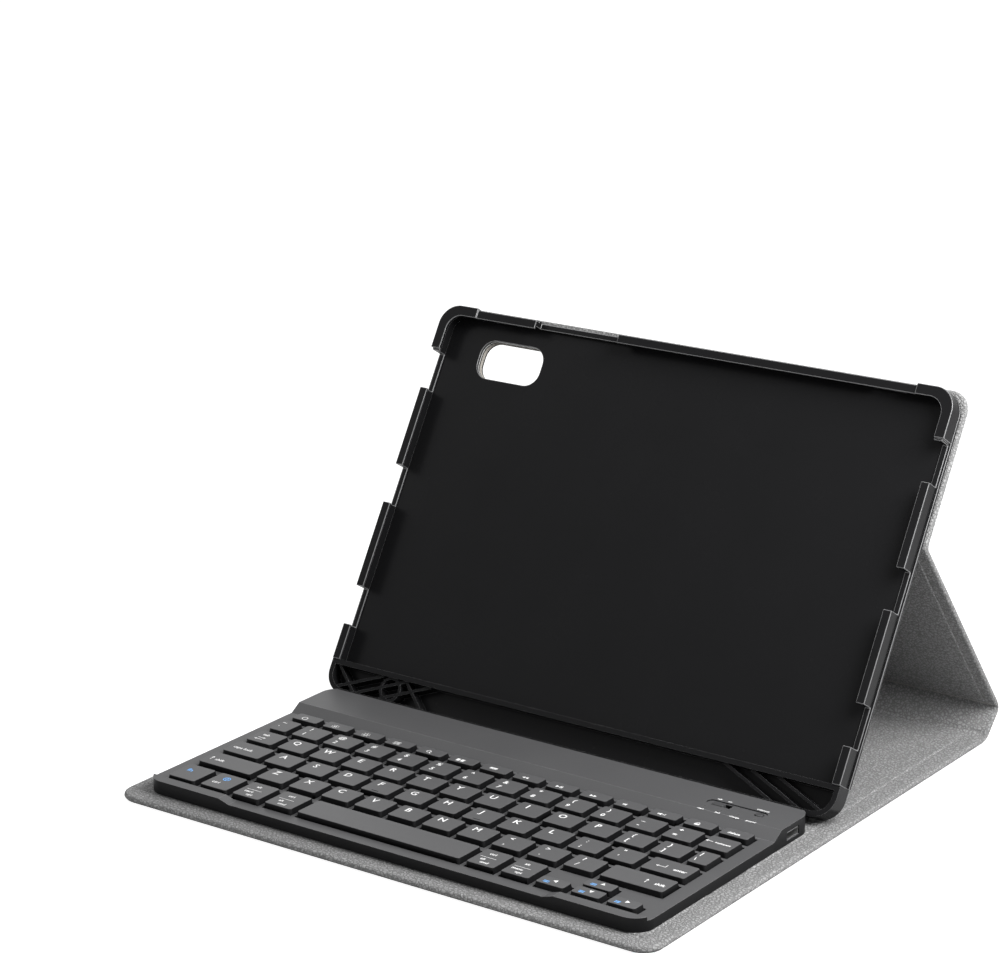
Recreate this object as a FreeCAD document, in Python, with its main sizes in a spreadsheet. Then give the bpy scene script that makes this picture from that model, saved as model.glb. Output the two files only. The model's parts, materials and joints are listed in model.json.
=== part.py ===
import FreeCAD, Part
import math
import os
import re
import Sketcher

# A keyboard case open as a stand: a folding cover of laminated panels, a tray on the upper panel,
# and a loose keyboard that lies on the cover.
# Millimetres. The origin is the middle of the front panel's underside, X along the fold lines,
# Y towards the spine, Z up.

doc = FreeCAD.newDocument("tablet_keyboard_case")
sheet = doc.addObject("Spreadsheet::Sheet", "Sizes")

SIZES = {
    # Cover panels: depths run from fold line to fold line
    "skin_thick": 0.8, "board_thick": 1.8, "lining_thick": 0.8, "cover_margin": 1.2,
    "front_depth": 190, "spine_depth": 18, "flap_depth": 60, "upper_margin": 2.05,
    "cover_corner": 9, "fold_half_gap": 4, "fold_thick": 1.4, "board_inset": 1.5,
    # Embossed frame lines in the skin and the lining
    "emboss_inset": 8.5, "emboss_end": 5, "emboss_line": 1.1, "emboss_depth": 0.3,
    # Stand pose: angles of the spine, the leg and the tray from the table
    "spine_tilt": 45, "leg_lean": 128.7, "tray_lean": 59, "foot_gap": 0.2,
    # Magnets in the boards
    "magnet_radius": 5, "magnet_thick": 1.2, "magnet_fit": 0.1,
    "magnet_spread": 80, "magnet_from_edge": 22,
    # Tray: sizes of what it is made to hold, then its own walls and cut-outs
    "tablet_length": 254.3, "tablet_height": 165.8, "tablet_thick": 5.9, "tablet_fit": 0.25,
    "tablet_corner": 7, "glue_thick": 0.2, "glue_margin": 6,
    "tray_back_thick": 1.6, "tray_wall": 2.6, "lip_thick": 1.2, "lip_reach": 1.3,
    "bumper_extra": 0.8, "bumper_run": 18, "bumper_rise": 0.7, "fold_to_tablet_edge": 102.5,
    "side_port_length": 18, "side_port_low": 16, "side_port_high": 18.8, "port_sill": 0.8,
    "top_window_length": 14.5, "top_window_from_end": 29.65, "window_sill": 1.2,
    "button_gap_from_end": 47.15, "button_gap_length": 44, "button_gap_sill": 2.4,
    "button_cap_length": 8, "button_cap_rise": 0.9, "button_cap_width": 3.4,
    "camera_length": 34, "camera_height": 18, "camera_from_end": 35.15, "camera_drop": 17,
    "camera_corner": 7,
    # Trough along the tray's lower edge
    "pen_channel_width": 10.4, "holder_inner_wall": 2.2, "holder_outer_wall": 2.2,
    "holder_height": 8.4, "holder_corner": 10, "pen_length": 149,
    "rib_thick": 1.2, "rib_drop": 1.2, "rib_pitch": 12.8, "rib_run": 25, "rib_clear": 1,
    "short_rib_run": 11, "tip_rib_gap": 2.5, "outer_rib_gap": 4,
    "ring_radius": 5, "ring_wall": 1.2, "ring_gap": 7,
    # Keyboard case
    "keyboard_gap": 1, "side_margin": 6.95, "front_margin": 6.05, "deck_rear_margin": 1.95,
    "case_wall": 1.8, "case_corner": 8.5, "deck_height": 4.4, "deck_thick": 1.1, "floor_thick": 0.9,
    "bar_height": 7.8, "bar_ramp": 5.4, "bar_top_depth": 22.6, "bar_rear_slope": 2, "bar_wall": 1.2,
    "strip_length": 40, "strip_ramp": 7, "strip_gap": 1.05, "strip_rise": 1.5,
    # Keys
    "key_width": 14.6, "key_depth": 12.9, "key_gap": 2.5, "key_hole_fit": 0.3, "key_travel": 1.2,
    "cap_taper": 0.45, "cap_corner": 1.2, "cap_rise": 2.3, "cap_skirt": 0.7, "cap_top_thick": 1,
    "cap_wall": 1, "bottom_key_depth": 15.4, "bottom_row_gap": 3.6, "function_key_depth": 7.4,
    "grave_width": 9.6, "tab_width": 14.4, "caps_width": 19.9, "shift_width": 28.6,
    "last_key_width": 9.6, "narrow_key_width": 13.8, "arrow_split": 0.8,
    # Key switches under the caps
    "plate_thick": 0.4, "membrane_thick": 0.25, "sheet_margin": 2,
    "dome_radius": 1.7, "dome_top_radius": 1.1, "dome_clear": 0.45,
    "scissor_length": 9, "scissor_depth": 4.6, "scissor_bar": 0.5, "scissor_height": 0.8,
    # Rear bar: battery, circuit board, charging socket, switch, button and lights
    "bar_clear": 0.6, "cell_length": 96, "cell_height": 4.2, "cell_from_side": 26.3,
    "circuit_length": 70, "circuit_thick": 1,
    "socket_width": 9, "socket_height": 3.2, "socket_depth": 7.4, "socket_fit": 0.2,
    "socket_wall": 0.35, "socket_set_back": 0.4,
    "recess_length": 28, "recess_width": 5, "recess_depth": 0.5, "recess_from_end": 26.2,
    "recess_from_rear": 15.8, "knob_length": 5, "knob_width": 3, "knob_rise": 0.45,
    "knob_travel": 3, "knob_fit": 0.3, "knob_root": 2.2, "knob_offset": 8.5,
    "button_radius": 1.7, "button_offset": 10.5, "switch_length": 10, "switch_width": 4,
    "light_pitch": 7.9, "light_length": 2, "light_width": 0.8, "light_row_drop": 6,
    "light_height": 1.6,
}

for row, (alias, number) in enumerate(SIZES.items(), start=1):
    sheet.set("A%d" % row, alias)
    sheet.set("B%d" % row, str(number))
    sheet.setAlias("B%d" % row, alias)
doc.recompute()

ALIAS_WORD = re.compile(r"\b(%s)\b" % "|".join(SIZES))
PIECES = []

probe = doc.addObject("App::FeaturePython", "Probe")
probe.addProperty("App::PropertyFloat", "Number")


def size(alias):
    return float(getattr(sheet, alias))


def bind(thing, **expressions):
    """Tie properties to the sheet; a double underscore in a keyword stands for a dot."""
    for name, expression in expressions.items():
        thing.setExpression(name.replace("__", "."), ALIAS_WORD.sub(r"Sizes.\1", expression))
    return thing


def value(expression):
    """The number that an expression on the sheet comes to."""
    bind(probe, Number=expression)
    probe.recompute()
    return probe.Number


def place(thing, x, y, z):
    return bind(thing, Placement__Base__x=x, Placement__Base__y=y, Placement__Base__z=z)


def box(name, length, width, height, x="0", y="0", z="0"):
    thing = doc.addObject("Part::Box", name)
    bind(thing, Length=length, Width=width, Height=height)
    return place(thing, x, y, z)


def centred_box(name, length, width, height, x="0", y="0", z="0"):
    """A box whose middle along X is at x; y and z are its low sides."""
    return box(name, length, width, height, "%s - (%s) / 2" % (x, length), y, z)


def cylinder(name, radius, height, x="0", y="0", z="0"):
    thing = doc.addObject("Part::Cylinder", name)
    bind(thing, Radius=radius, Height=height)
    return place(thing, x, y, z)


def compound(name, things):
    thing = doc.addObject("Part::Compound", name)
    thing.Links = list(things)
    return thing


def fuse(name, things):
    thing = doc.addObject("Part::MultiFuse", name)
    thing.Shapes = list(things)
    return thing


def cut(name, base, tools):
    """Take away tools that don't overlap each other."""
    thing = doc.addObject("Part::Cut", name)
    thing.Base = base
    thing.Tool = tools[0] if len(tools) == 1 else compound(name + "_tools", tools)
    return thing


def common(name, base, tool):
    thing = doc.addObject("Part::Common", name)
    thing.Base = base
    thing.Tool = tool
    return thing


def round_upright(name, base, radius, keep=lambda point: True):
    """Round the upright edges of a block whose middle point passes the test."""
    doc.recompute()
    picked = []
    for number, edge in enumerate(base.Shape.Edges, start=1):
        low = edge.Vertexes[0].Point
        span = edge.Vertexes[-1].Point - low
        if abs(span.z) > max(abs(span.x), abs(span.y)) and keep(edge.CenterOfMass):
            picked.append((number, radius, radius))
    thing = doc.addObject("Part::Fillet", name)
    thing.Base = base
    thing.Edges = picked
    return thing


def polygon_pad(name, plane_role, points, length, reverse=False):
    """A body padded from a closed polygon whose corners are pairs of expressions."""
    body = doc.addObject("PartDesign::Body", name)
    sketch = body.newObject("Sketcher::SketchObject", name + "_sketch")
    plane = [part for part in body.Origin.OriginFeatures if part.Role == plane_role][0]
    sketch.AttachmentSupport = [(plane, "")]
    sketch.MapMode = "FlatFace"
    numbers = [[value(text) for text in pair] for pair in points]
    corners = [FreeCAD.Vector(first, second, 0) for first, second in numbers]
    for this, following in zip(corners, corners[1:] + corners[:1]):
        sketch.addGeometry(Part.LineSegment(this, following), False)
    count = len(corners)
    for index in range(count):
        sketch.addConstraint(Sketcher.Constraint("Coincident", index, 2, (index + 1) % count, 1))
    for index, pair in enumerate(points):
        for kind, text, number in zip(("DistanceX", "DistanceY"), pair, numbers[index]):
            if text == "0":
                axis = -2 if kind == "DistanceX" else -1
                sketch.addConstraint(Sketcher.Constraint("PointOnObject", index, 1, axis))
                continue
            known = sketch.addConstraint(Sketcher.Constraint(kind, index, 1, number))
            sketch.setExpression("Constraints[%d]" % known, ALIAS_WORD.sub(r"Sizes.\1", text))
    pad = body.newObject("PartDesign::Pad", name + "_pad")
    pad.Profile = sketch
    pad.Reversed = reverse
    bind(pad, Length=length)
    body.Tip = pad
    return body


def piece(label, thing, placement):
    """Name a finished sub-part and put it in its place; a plain block keeps its own bound place."""
    if thing.TypeId in ("Part::Box", "Part::Cylinder"):
        thing = compound(label + "_placed", [thing])
    thing.Label = label
    thing.Placement = placement.multiply(thing.Placement)
    PIECES.append(thing)


def turned(y, z, angle):
    """The frame of a panel: its Y runs along the panel and its Z towards the lining."""
    turn = FreeCAD.Rotation(FreeCAD.Vector(1, 0, 0), angle)
    return FreeCAD.Placement(FreeCAD.Vector(0, y, z), turn)


def slope(angle):
    """Unit vectors along a panel at this angle and towards its lining."""
    along = FreeCAD.Vector(0, math.cos(angle), math.sin(angle))
    return along, FreeCAD.Vector(0, -along.z, along.y)


# Sizes that follow from others
PANEL = "(skin_thick + board_thick + lining_thick)"
COVER_WIDTH = "(tablet_length + 2 * (tablet_fit + tray_wall + bumper_extra + cover_margin))"
UPPER_DEPTH = "(tablet_height - fold_to_tablet_edge + tablet_fit + tray_wall + bumper_extra + upper_margin)"
HOLDER_REACH = "(tablet_fit + holder_inner_wall + pen_channel_width + holder_outer_wall)"
FOOT_RISE = "((fold_to_tablet_edge + %s) * sin(tray_lean) - glue_thick * cos(tray_lean))" % HOLDER_REACH
LEG_RISE = "(%s + foot_gap + %s - spine_depth * sin(spine_tilt))" % (PANEL, FOOT_RISE)
LEG_DEPTH = "((%s - %s * cos(leg_lean)) / sin(leg_lean))" % (LEG_RISE, PANEL)

PITCH = "(key_width + key_gap)"
ROW_PITCH = "(key_depth + key_gap)"
UPPER_COUNT = 12
KEY_FIELD = "(tab_width + key_gap + %d * %s + last_key_width)" % (UPPER_COUNT, PITCH)
SHIFT_ROW = "(front_margin + bottom_key_depth + bottom_row_gap)"
FUNCTION_ROW = "(%s + 4 * %s)" % (SHIFT_ROW, ROW_PITCH)
BAR_START = "(%s + function_key_depth + deck_rear_margin)" % FUNCTION_ROW
KEYBOARD_DEPTH = "(%s + bar_ramp + bar_top_depth + bar_rear_slope)" % BAR_START
KEYBOARD_WIDTH = "(%s + 2 * side_margin)" % KEY_FIELD

# The stand pose
# The spine leans out, the leg goes up to the fold behind the tray, and the tray's foot stands on
# the front panel.

panel_thick = value(PANEL)
lean = math.radians(size("tray_lean"))
tilt = math.radians(size("spine_tilt"))
leg_angle = math.radians(size("leg_lean"))
spine_along, spine_inward = slope(tilt)
leg_along, leg_inward = slope(leg_angle)
upper_along, upper_inward = slope(lean)

spine_line = FreeCAD.Vector(0, size("front_depth") / 2, 0)
leg_line = spine_line + spine_along * size("spine_depth")
upper_line = leg_line + leg_along * value(LEG_DEPTH) + leg_inward * panel_thick
upper_skin_line = upper_line - upper_inward * panel_thick
tray_origin = upper_line - upper_along * size("fold_to_tablet_edge") + upper_inward * size("glue_thick")
foot_front = tray_origin - upper_along * value(HOLDER_REACH) + upper_inward * size("holder_height")
keyboard_front = foot_front.y - size("keyboard_gap") - value(KEYBOARD_DEPTH)
wrap_line = -size("front_depth") / 2
flap_line = wrap_line - size("spine_depth")

front_place = turned(wrap_line, 0, 0)
wrap_place = turned(flap_line, 0, 0)
about_face = FreeCAD.Rotation(FreeCAD.Vector(0, 0, 1), 180)
flap_place = FreeCAD.Placement(FreeCAD.Vector(0, flap_line, 0), about_face)
spine_place = turned(spine_line.y, spine_line.z, size("spine_tilt"))
leg_place = turned(leg_line.y, leg_line.z, size("leg_lean"))
upper_place = turned(upper_skin_line.y, upper_skin_line.z, size("tray_lean"))
tray_place = turned(tray_origin.y, tray_origin.z, size("tray_lean"))
keyboard_place = turned(keyboard_front, panel_thick, 0)

# Cover panels


def frame_line(name, start, depth, low):
    """The tool of an embossed frame: a rectangular ring, set in from the panel's edges."""
    width = COVER_WIDTH + " - 2 * emboss_inset"
    run = "%s - 2 * emboss_end" % depth
    outer = centred_box(
        name + "_outer", width, run, "2 * emboss_depth", "0", "%s + emboss_end" % start, low
    )
    inner = centred_box(
        name + "_inner", width + " - 2 * emboss_line", run + " - 2 * emboss_line", "2 * emboss_depth",
        "0", "%s + emboss_end + emboss_line" % start, low,
    )
    return cut(name, outer, [inner])


# Magnets under the keyboard: a row in the front panel and a row in the flap
MAGNET_ROWS = {"front": "magnet_from_edge", "flap": "flap_depth - magnet_from_edge"}


def magnet_discs(name, panel_name, radius, height, low):
    offsets = ("-magnet_spread", "0", "magnet_spread")
    return [
        cylinder("%s_%d" % (name, index), radius, height, x, MAGNET_ROWS[panel_name], low)
        for index, x in enumerate(offsets)
    ]


def camera_hole(label, tablet_top):
    """The hole for the rear camera, in a frame where the tablet's top edge is at this height."""
    block = centred_box(
        label + "_camera_block", "camera_length", "camera_height", "4 * " + PANEL,
        "camera_from_end - tablet_length / 2", "%s - camera_drop - camera_height / 2" % tablet_top,
        "-2 * " + PANEL,
    )
    radius = min(size("camera_corner"), 0.49 * size("camera_height"), 0.49 * size("camera_length"))
    return round_upright(label + "_camera", block, radius)


def camera_window(label):
    return camera_hole(label, "(tablet_height - fold_to_tablet_edge)")


def free_corner(point):
    return point.y > 2 * size("fold_half_gap")


def panel(name, depth, placement, free_end=False, core="board", framed=True, holes=()):
    """Skin, core and lining of one panel between its two fold strips."""
    start = "fold_half_gap"
    run = "%s - fold_half_gap" % depth if free_end else "%s - 2 * fold_half_gap" % depth
    lining_low = "skin_thick + board_thick"
    layers = [
        ("skin", "skin_thick", "0", "-emboss_depth", "0"),
        (core, "board_thick", "skin_thick", None, "board_inset"),
        ("lining", "lining_thick", lining_low, PANEL + " - emboss_depth", "0"),
    ]
    for layer, thick, low, line_low, inset in layers:
        label = "%s_%s" % (name, layer)
        layer_run = "%s - %s" % (run, inset) if free_end else run
        layer_width = "%s - 2 * %s" % (COVER_WIDTH, inset)
        thing = centred_box(label + "_blank", layer_width, layer_run, thick, "0", start, low)
        if free_end:
            radius = value("cover_corner - %s" % inset)
            thing = round_upright(label + "_rounded", thing, radius, free_corner)
        tools = [make(label) for make in holes]
        if layer == core and name in MAGNET_ROWS:
            tools += magnet_discs(label + "_pocket", name, "magnet_radius + magnet_fit", thick, low)
        if framed and line_low is not None:
            tools.append(frame_line(label + "_line", start, run, line_low))
        if tools:
            thing = cut(label + "_cut", thing, tools)
        piece(label, thing, placement)


panel("front", "front_depth", front_place)
panel("spine", "spine_depth", spine_place, framed=False)
panel("leg", LEG_DEPTH, leg_place)
panel("upper", UPPER_DEPTH, upper_place, free_end=True, holes=(camera_window,))
panel("wrap", "spine_depth", wrap_place, core="padding", framed=False)
panel("flap", "flap_depth", flap_place, free_end=True)

for name, placement in (("front", front_place), ("flap", flap_place)):
    discs = magnet_discs(name + "_magnet", name, "magnet_radius", "magnet_thick", "skin_thick")
    piece(name + "_magnets", compound(name + "_magnet_row", discs), placement)

# Fold strips: skin and lining pressed together, bent to the stand pose


def flat_fold(label, line_y):
    strip = centred_box(
        label + "_blank", COVER_WIDTH, "2 * fold_half_gap", "fold_thick", "0", "-fold_half_gap"
    )
    piece(label, strip, turned(line_y, 0, 0))


def bent_fold(label, line, before, after, hollow_side):
    """A strip bent about X between two panel angles; hollow_side is 1 where the lining is inside."""
    bend = abs(after - before)
    radius = size("fold_half_gap") / math.tan(bend / 2)
    along, inward = slope(before)
    centre = line - along * size("fold_half_gap") + inward * radius * hollow_side
    first = before if hollow_side > 0 else after
    start = FreeCAD.Vector(0, math.sin(first), -math.cos(first)) * hollow_side
    upward = FreeCAD.Vector(1, 0, 0)
    turn = FreeCAD.Rotation(start, upward.cross(start), upward, "ZXY")
    outer = doc.addObject("Part::Cylinder", label + "_outer")
    inner = doc.addObject("Part::Cylinder", label + "_inner")
    for thing in (outer, inner):
        bind(thing, Height=COVER_WIDTH)
        thing.Angle = math.degrees(bend)
    outer.Radius = radius
    inner.Radius = radius - size("fold_thick")
    strip = cut(label + "_strip", outer, [inner])
    low_end = FreeCAD.Vector(-value(COVER_WIDTH) / 2, centre.y, centre.z)
    piece(label, strip, FreeCAD.Placement(low_end, turn))


flat_fold("wrap_fold_strip", wrap_line)
flat_fold("flap_fold_strip", flap_line)
bent_fold("spine_fold_strip", spine_line, 0, tilt, 1)
bent_fold("leg_fold_strip", leg_line, tilt, leg_angle, 1)
bent_fold("upper_fold_strip", upper_line, leg_angle, lean, -1)

# Tray: back plate, rim and trough, in a frame whose Y starts at the pocket's lower edge, before
# its clearance, and whose Z starts at the tray's back

POCKET_LENGTH = "(tablet_length + 2 * tablet_fit)"
POCKET_RUN = "(tablet_height + tablet_fit + 2 * tray_wall)"
GLASS = "(tray_back_thick + tablet_thick + tablet_fit)"
RIM_HALF = "(tablet_length / 2 + tablet_fit + tray_wall)"
RIM_TOP = "(tablet_height + tablet_fit + tray_wall)"
RIM_LEVEL = "(%s + lip_thick)" % GLASS
BUMPER_LEVEL = "(%s + bumper_rise)" % RIM_LEVEL
tray_corner = size("tablet_corner") + size("tray_wall")


def top_corner(point):
    return point.y > size("tablet_height") / 2


def tray_plate(name, low, high):
    """A plate of the tray's outline, bumpers included, with its two upper corners rounded."""
    blank = centred_box(
        name + "_blank", "2 * %s + 2 * bumper_extra" % RIM_HALF,
        RIM_TOP + " + tablet_fit + bumper_extra", "%s - %s" % (high, low), "0", "-tablet_fit", low,
    )
    return round_upright(name, blank, tray_corner, top_corner)


def tray_hollow(name, length, run, high):
    """The space inside the rim, open at the pen holder's side."""
    block = centred_box(
        name + "_block", length, run, high + " - tray_back_thick", "0", "-2 * tray_wall", "tray_back_thick"
    )
    return round_upright(name, block, size("tablet_corner"), top_corner)


back_plate = tray_plate("tray_back_plate", "0", "tray_back_thick")
back_hole = camera_hole("tray_back", "tablet_height")
piece("tray_back", cut("tray_back_cut", back_plate, [back_hole]), tray_place)

glue = centred_box(
    "glue_blank", POCKET_LENGTH + " - 2 * glue_margin",
    UPPER_DEPTH + " - fold_half_gap - 2 * glue_margin", "glue_thick", "0",
    "fold_to_tablet_edge + fold_half_gap + glue_margin", "-glue_thick",
)
piece("tray_glue", cut("glue_cut", glue, [camera_hole("glue", "tablet_height")]), tray_place)

rim_blank = tray_plate("rim_blank", "tray_back_thick", BUMPER_LEVEL)
pocket = tray_hollow("rim_pocket", POCKET_LENGTH, POCKET_RUN, GLASS)
mouth = tray_hollow(
    "rim_mouth", POCKET_LENGTH + " - 2 * lip_reach", POCKET_RUN + " - lip_reach", BUMPER_LEVEL
)

# Between the corner bumpers the rim is lower and thinner, with gaps for ports and buttons
THROUGH = "6 * tray_wall"
SIDE_RUN = "(%s - bumper_run)" % RIM_TOP
TOP_RUN = "(2 * %s - 2 * bumper_run)" % RIM_HALF
SIDE_PORTS = (
    "side_port_low",
    "(tablet_height - side_port_length) / 2",
    "tablet_height - side_port_high - side_port_length",
)
trims = []
for side, sign in (("left", "-1"), ("right", "1")):
    outside = "%s * %s" % (sign, RIM_HALF)
    trims.append(centred_box(
        "rim_%s_shave" % side, "2 * bumper_extra", SIDE_RUN, BUMPER_LEVEL,
        "%s + %s * bumper_extra" % (outside, sign), "-tray_wall",
    ))
    trims.append(centred_box(
        "rim_%s_drop" % side, THROUGH, SIDE_RUN, "2 * bumper_rise", outside, "-tray_wall", RIM_LEVEL
    ))
    for index, low in enumerate(SIDE_PORTS):
        trims.append(centred_box(
            "rim_%s_port_%d" % (side, index), THROUGH, "side_port_length", BUMPER_LEVEL, outside, low,
            "tray_back_thick + port_sill",
        ))
    trims.append(centred_box(
        "rim_%s_window" % side, "top_window_length", THROUGH,
        GLASS + " - tray_back_thick - 2 * window_sill",
        "%s * (tablet_length / 2 - top_window_from_end)" % sign, "tablet_height - tray_wall",
        "tray_back_thick + window_sill",
    ))
trims.append(centred_box("rim_top_shave", TOP_RUN, "2 * bumper_extra", BUMPER_LEVEL, "0", RIM_TOP))
ABOVE_POCKET = RIM_TOP + " - 3 * tray_wall"
trims.append(centred_box(
    "rim_top_drop", TOP_RUN, THROUGH, "2 * bumper_rise", "0", ABOVE_POCKET, RIM_LEVEL
))
BUTTON_GAP = "(button_gap_from_end - tablet_length / 2)"
trims.append(box(
    "rim_button_gap", "button_gap_length", THROUGH, BUMPER_LEVEL, BUTTON_GAP, ABOVE_POCKET,
    "tray_back_thick + button_gap_sill",
))
button_cap = box(
    "rim_button_cap", "button_cap_length", "tray_wall + button_cap_rise", "button_cap_width",
    BUTTON_GAP + " - button_cap_length", RIM_TOP + " - tray_wall", "tray_back_thick + window_sill",
)
rim = cut("rim_cut", rim_blank, [fuse("rim_trims", [pocket, mouth] + trims)])
piece("tray_rim", fuse("rim_with_cap", [rim, button_cap]), tray_place)

# Holder: a trough with an inner and an outer wall, ribs at both ends and a ring
CHANNEL_HIGH = "(-tablet_fit - holder_inner_wall)"
CHANNEL_LOW = "(%s - pen_channel_width)" % CHANNEL_HIGH
FIRST_RIB = "(pen_length / 2 + rib_clear)"
TIP_RIB = "(%s + short_rib_run + tip_rib_gap)" % FIRST_RIB
RING_CENTRE = "(%s + ring_gap)" % TIP_RIB
SIDE_RIBS = 3


def lower_corner(point):
    return point.y < value(CHANNEL_HIGH) - size("pen_channel_width") / 2


trough_blank = centred_box(
    "trough_blank", "2 * " + RIM_HALF, HOLDER_REACH + " - tablet_fit", "holder_height", "0",
    "-" + HOLDER_REACH,
)
holder_corner = min(size("holder_corner"), 0.9 * (value(HOLDER_REACH) - size("tablet_fit")))
trough_block = round_upright("trough_block", trough_blank, holder_corner, lower_corner)
channel_blank = centred_box(
    "channel_blank", "2 * %s - 2 * holder_outer_wall" % RIM_HALF, "pen_channel_width",
    "holder_height", "0", CHANNEL_LOW, "tray_back_thick",
)
channel_corner = min(holder_corner - size("holder_outer_wall"), 0.9 * size("pen_channel_width"))
channel = round_upright("channel_block", channel_blank, channel_corner, lower_corner)
trough = cut("trough", trough_block, [channel])


def rib(name, start, run):
    """A slanting rib across the channel, from its inner wall down to its outer wall."""
    across = size("pen_channel_width")
    thing = doc.addObject("Part::Box", name)
    bind(thing, Width="rib_thick", Height="holder_height - rib_drop")
    thing.Length = math.hypot(run, across)
    top = FreeCAD.Vector(value(start), value(CHANNEL_HIGH), 0)
    middle = FreeCAD.Vector(0, -size("rib_thick") / 2, 0)
    turn = FreeCAD.Rotation(FreeCAD.Vector(0, 0, 1), math.degrees(math.atan2(-across, run)))
    thing.Placement = FreeCAD.Placement(top + turn.multVec(middle), turn)
    return thing


ribs = []
for side, sign in (("right", 1), ("left", -1)):
    for index in range(SIDE_RIBS):
        top_end = "%d * (%s + %d * rib_pitch)" % (sign, FIRST_RIB, index)
        ribs.append(rib("rib_%s_%d" % (side, index), top_end, sign * size("rib_run")))
ribs.append(rib("rib_left_outer", "outer_rib_gap - " + RIM_HALF, size("short_rib_run")))
ribs.append(rib("rib_pen_tip", "-" + TIP_RIB, size("short_rib_run")))
RING_Y = CHANNEL_HIGH + " - pen_channel_width / 2"
ring_outer = cylinder(
    "ring_outer", "ring_radius + ring_wall / 2", "holder_height - rib_drop", "-" + RING_CENTRE, RING_Y
)
ring_inner = cylinder(
    "ring_inner", "ring_radius - ring_wall / 2", "holder_height", "-" + RING_CENTRE, RING_Y,
    "tray_back_thick",
)
ring = cut("holder_ring", ring_outer, [ring_inner])
ribs_in = common("ribs_trimmed", fuse("ribs_all", ribs + [ring]), trough_block)
piece("pen_holder", fuse("holder_all", [trough, ribs_in]), tray_place)

# Keyboard case, in a frame at the middle of its front lower edge

HALF = "(%s / 2)" % KEYBOARD_WIDTH


def case_plan(name, inset, height):
    """A block of the keyboard's plan with rounded corners, drawn in by the inset."""
    blank = centred_box(
        name + "_blank", "%s - 2 * %s" % (KEYBOARD_WIDTH, inset), "%s - 2 * %s" % (KEYBOARD_DEPTH, inset),
        height, "0", inset,
    )
    return round_upright(name, blank, value("case_corner - " + inset))


profile = polygon_pad(
    "case_profile", "YZ_Plane",
    [
        ("0", "0"), ("0", "deck_height"), (BAR_START, "deck_height"),
        (BAR_START + " + bar_ramp", "bar_height"), (KEYBOARD_DEPTH + " - bar_rear_slope", "bar_height"),
        (KEYBOARD_DEPTH, "bar_height - bar_rear_slope"), (KEYBOARD_DEPTH, "0"),
    ],
    KEYBOARD_WIDTH,
)
bind(profile, Placement__Base__x="-" + HALF)

# Raised strips at the front corners keep the closed cover off the keys
STRIP_LOW = "deck_height - deck_thick / 2"
STRIP_TOP = "deck_height + strip_rise"
strip_left = polygon_pad(
    "case_strip_left", "XZ_Plane",
    [
        ("-" + HALF, STRIP_LOW), ("-" + HALF, STRIP_TOP), ("strip_length - " + HALF, STRIP_TOP),
        ("strip_length + strip_ramp - " + HALF, STRIP_LOW),
    ],
    "front_margin - strip_gap", reverse=True,
)
strip_right = doc.addObject("Part::Mirroring", "case_strip_right")
strip_right.Source = strip_left
strip_right.Normal = FreeCAD.Vector(1, 0, 0)
case_raw = fuse("case_raw", [profile, strip_left, strip_right])
case_solid = common("case_solid", case_raw, case_plan("case_outline", "0", "2 * bar_height"))
deck_space = case_plan("deck_space", "case_wall", "deck_height - deck_thick")
BAR_LOW = "(%s + bar_ramp + bar_wall)" % BAR_START
BAR_RUN = "(bar_top_depth - bar_wall - case_wall)"
bar_space = centred_box(
    "bar_space", KEYBOARD_WIDTH + " - 2 * case_corner", BAR_RUN, "bar_height - deck_thick", "0", BAR_LOW
)

# Keys: caps by row, each row from the left edge of the field to the right

KEYS = []
LEFT = "(-%s / 2)" % KEY_FIELD


def add_key(node, x, y, width, depth):
    KEYS.append((node, *["(%s)" % text for text in (x, y, width, depth)]))


def letter_row(row, left_node, left_width, node, count, right_node):
    """A wide key, a run of letter keys and a key that fills the row to the field's right edge."""
    y = "%s + %d * %s" % (SHIFT_ROW, row, ROW_PITCH)
    add_key(left_node, LEFT, y, left_width, "key_depth")
    start = "(%s + %s + key_gap)" % (LEFT, left_width)
    for index in range(count):
        add_key(node, "%s + %d * %s" % (start, index, PITCH), y, "key_width", "key_depth")
    right = "(%s + %d * %s)" % (start, count, PITCH)
    add_key(right_node, right, y, "%s / 2 - %s" % (KEY_FIELD, right), "key_depth")


letter_row(0, "left_shift_key", "shift_width", "lower_letter_keys", UPPER_COUNT - 2, "right_shift_key")
letter_row(1, "caps_key", "caps_width", "home_letter_keys", UPPER_COUNT - 1, "enter_key")
letter_row(2, "tab_key", "tab_width", "upper_letter_keys", UPPER_COUNT, "upper_letter_keys")
letter_row(3, "number_keys", "grave_width", "number_keys", UPPER_COUNT, "backspace_key")

FUNCTION_COUNT = 14
function_width = "((%s - %d * key_gap) / %d)" % (KEY_FIELD, FUNCTION_COUNT - 1, FUNCTION_COUNT)
for index in range(FUNCTION_COUNT):
    function_x = "%s + %d * (%s + key_gap)" % (LEFT, index, function_width)
    add_key("function_keys", function_x, FUNCTION_ROW, function_width, "function_key_depth")

LEFT_MODIFIERS = 4
for index in range(LEFT_MODIFIERS):
    modifier_x = "%s + %d * %s" % (LEFT, index, PITCH)
    add_key("left_modifier_keys", modifier_x, "front_margin", "key_width", "bottom_key_depth")
HALF_KEY = "((bottom_key_depth - arrow_split) / 2)"


def from_right(count):
    """Left edge of the key that is this many places from the field's right edge."""
    return "(%s / 2 + key_gap - %d * (narrow_key_width + key_gap))" % (KEY_FIELD, count)


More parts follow.
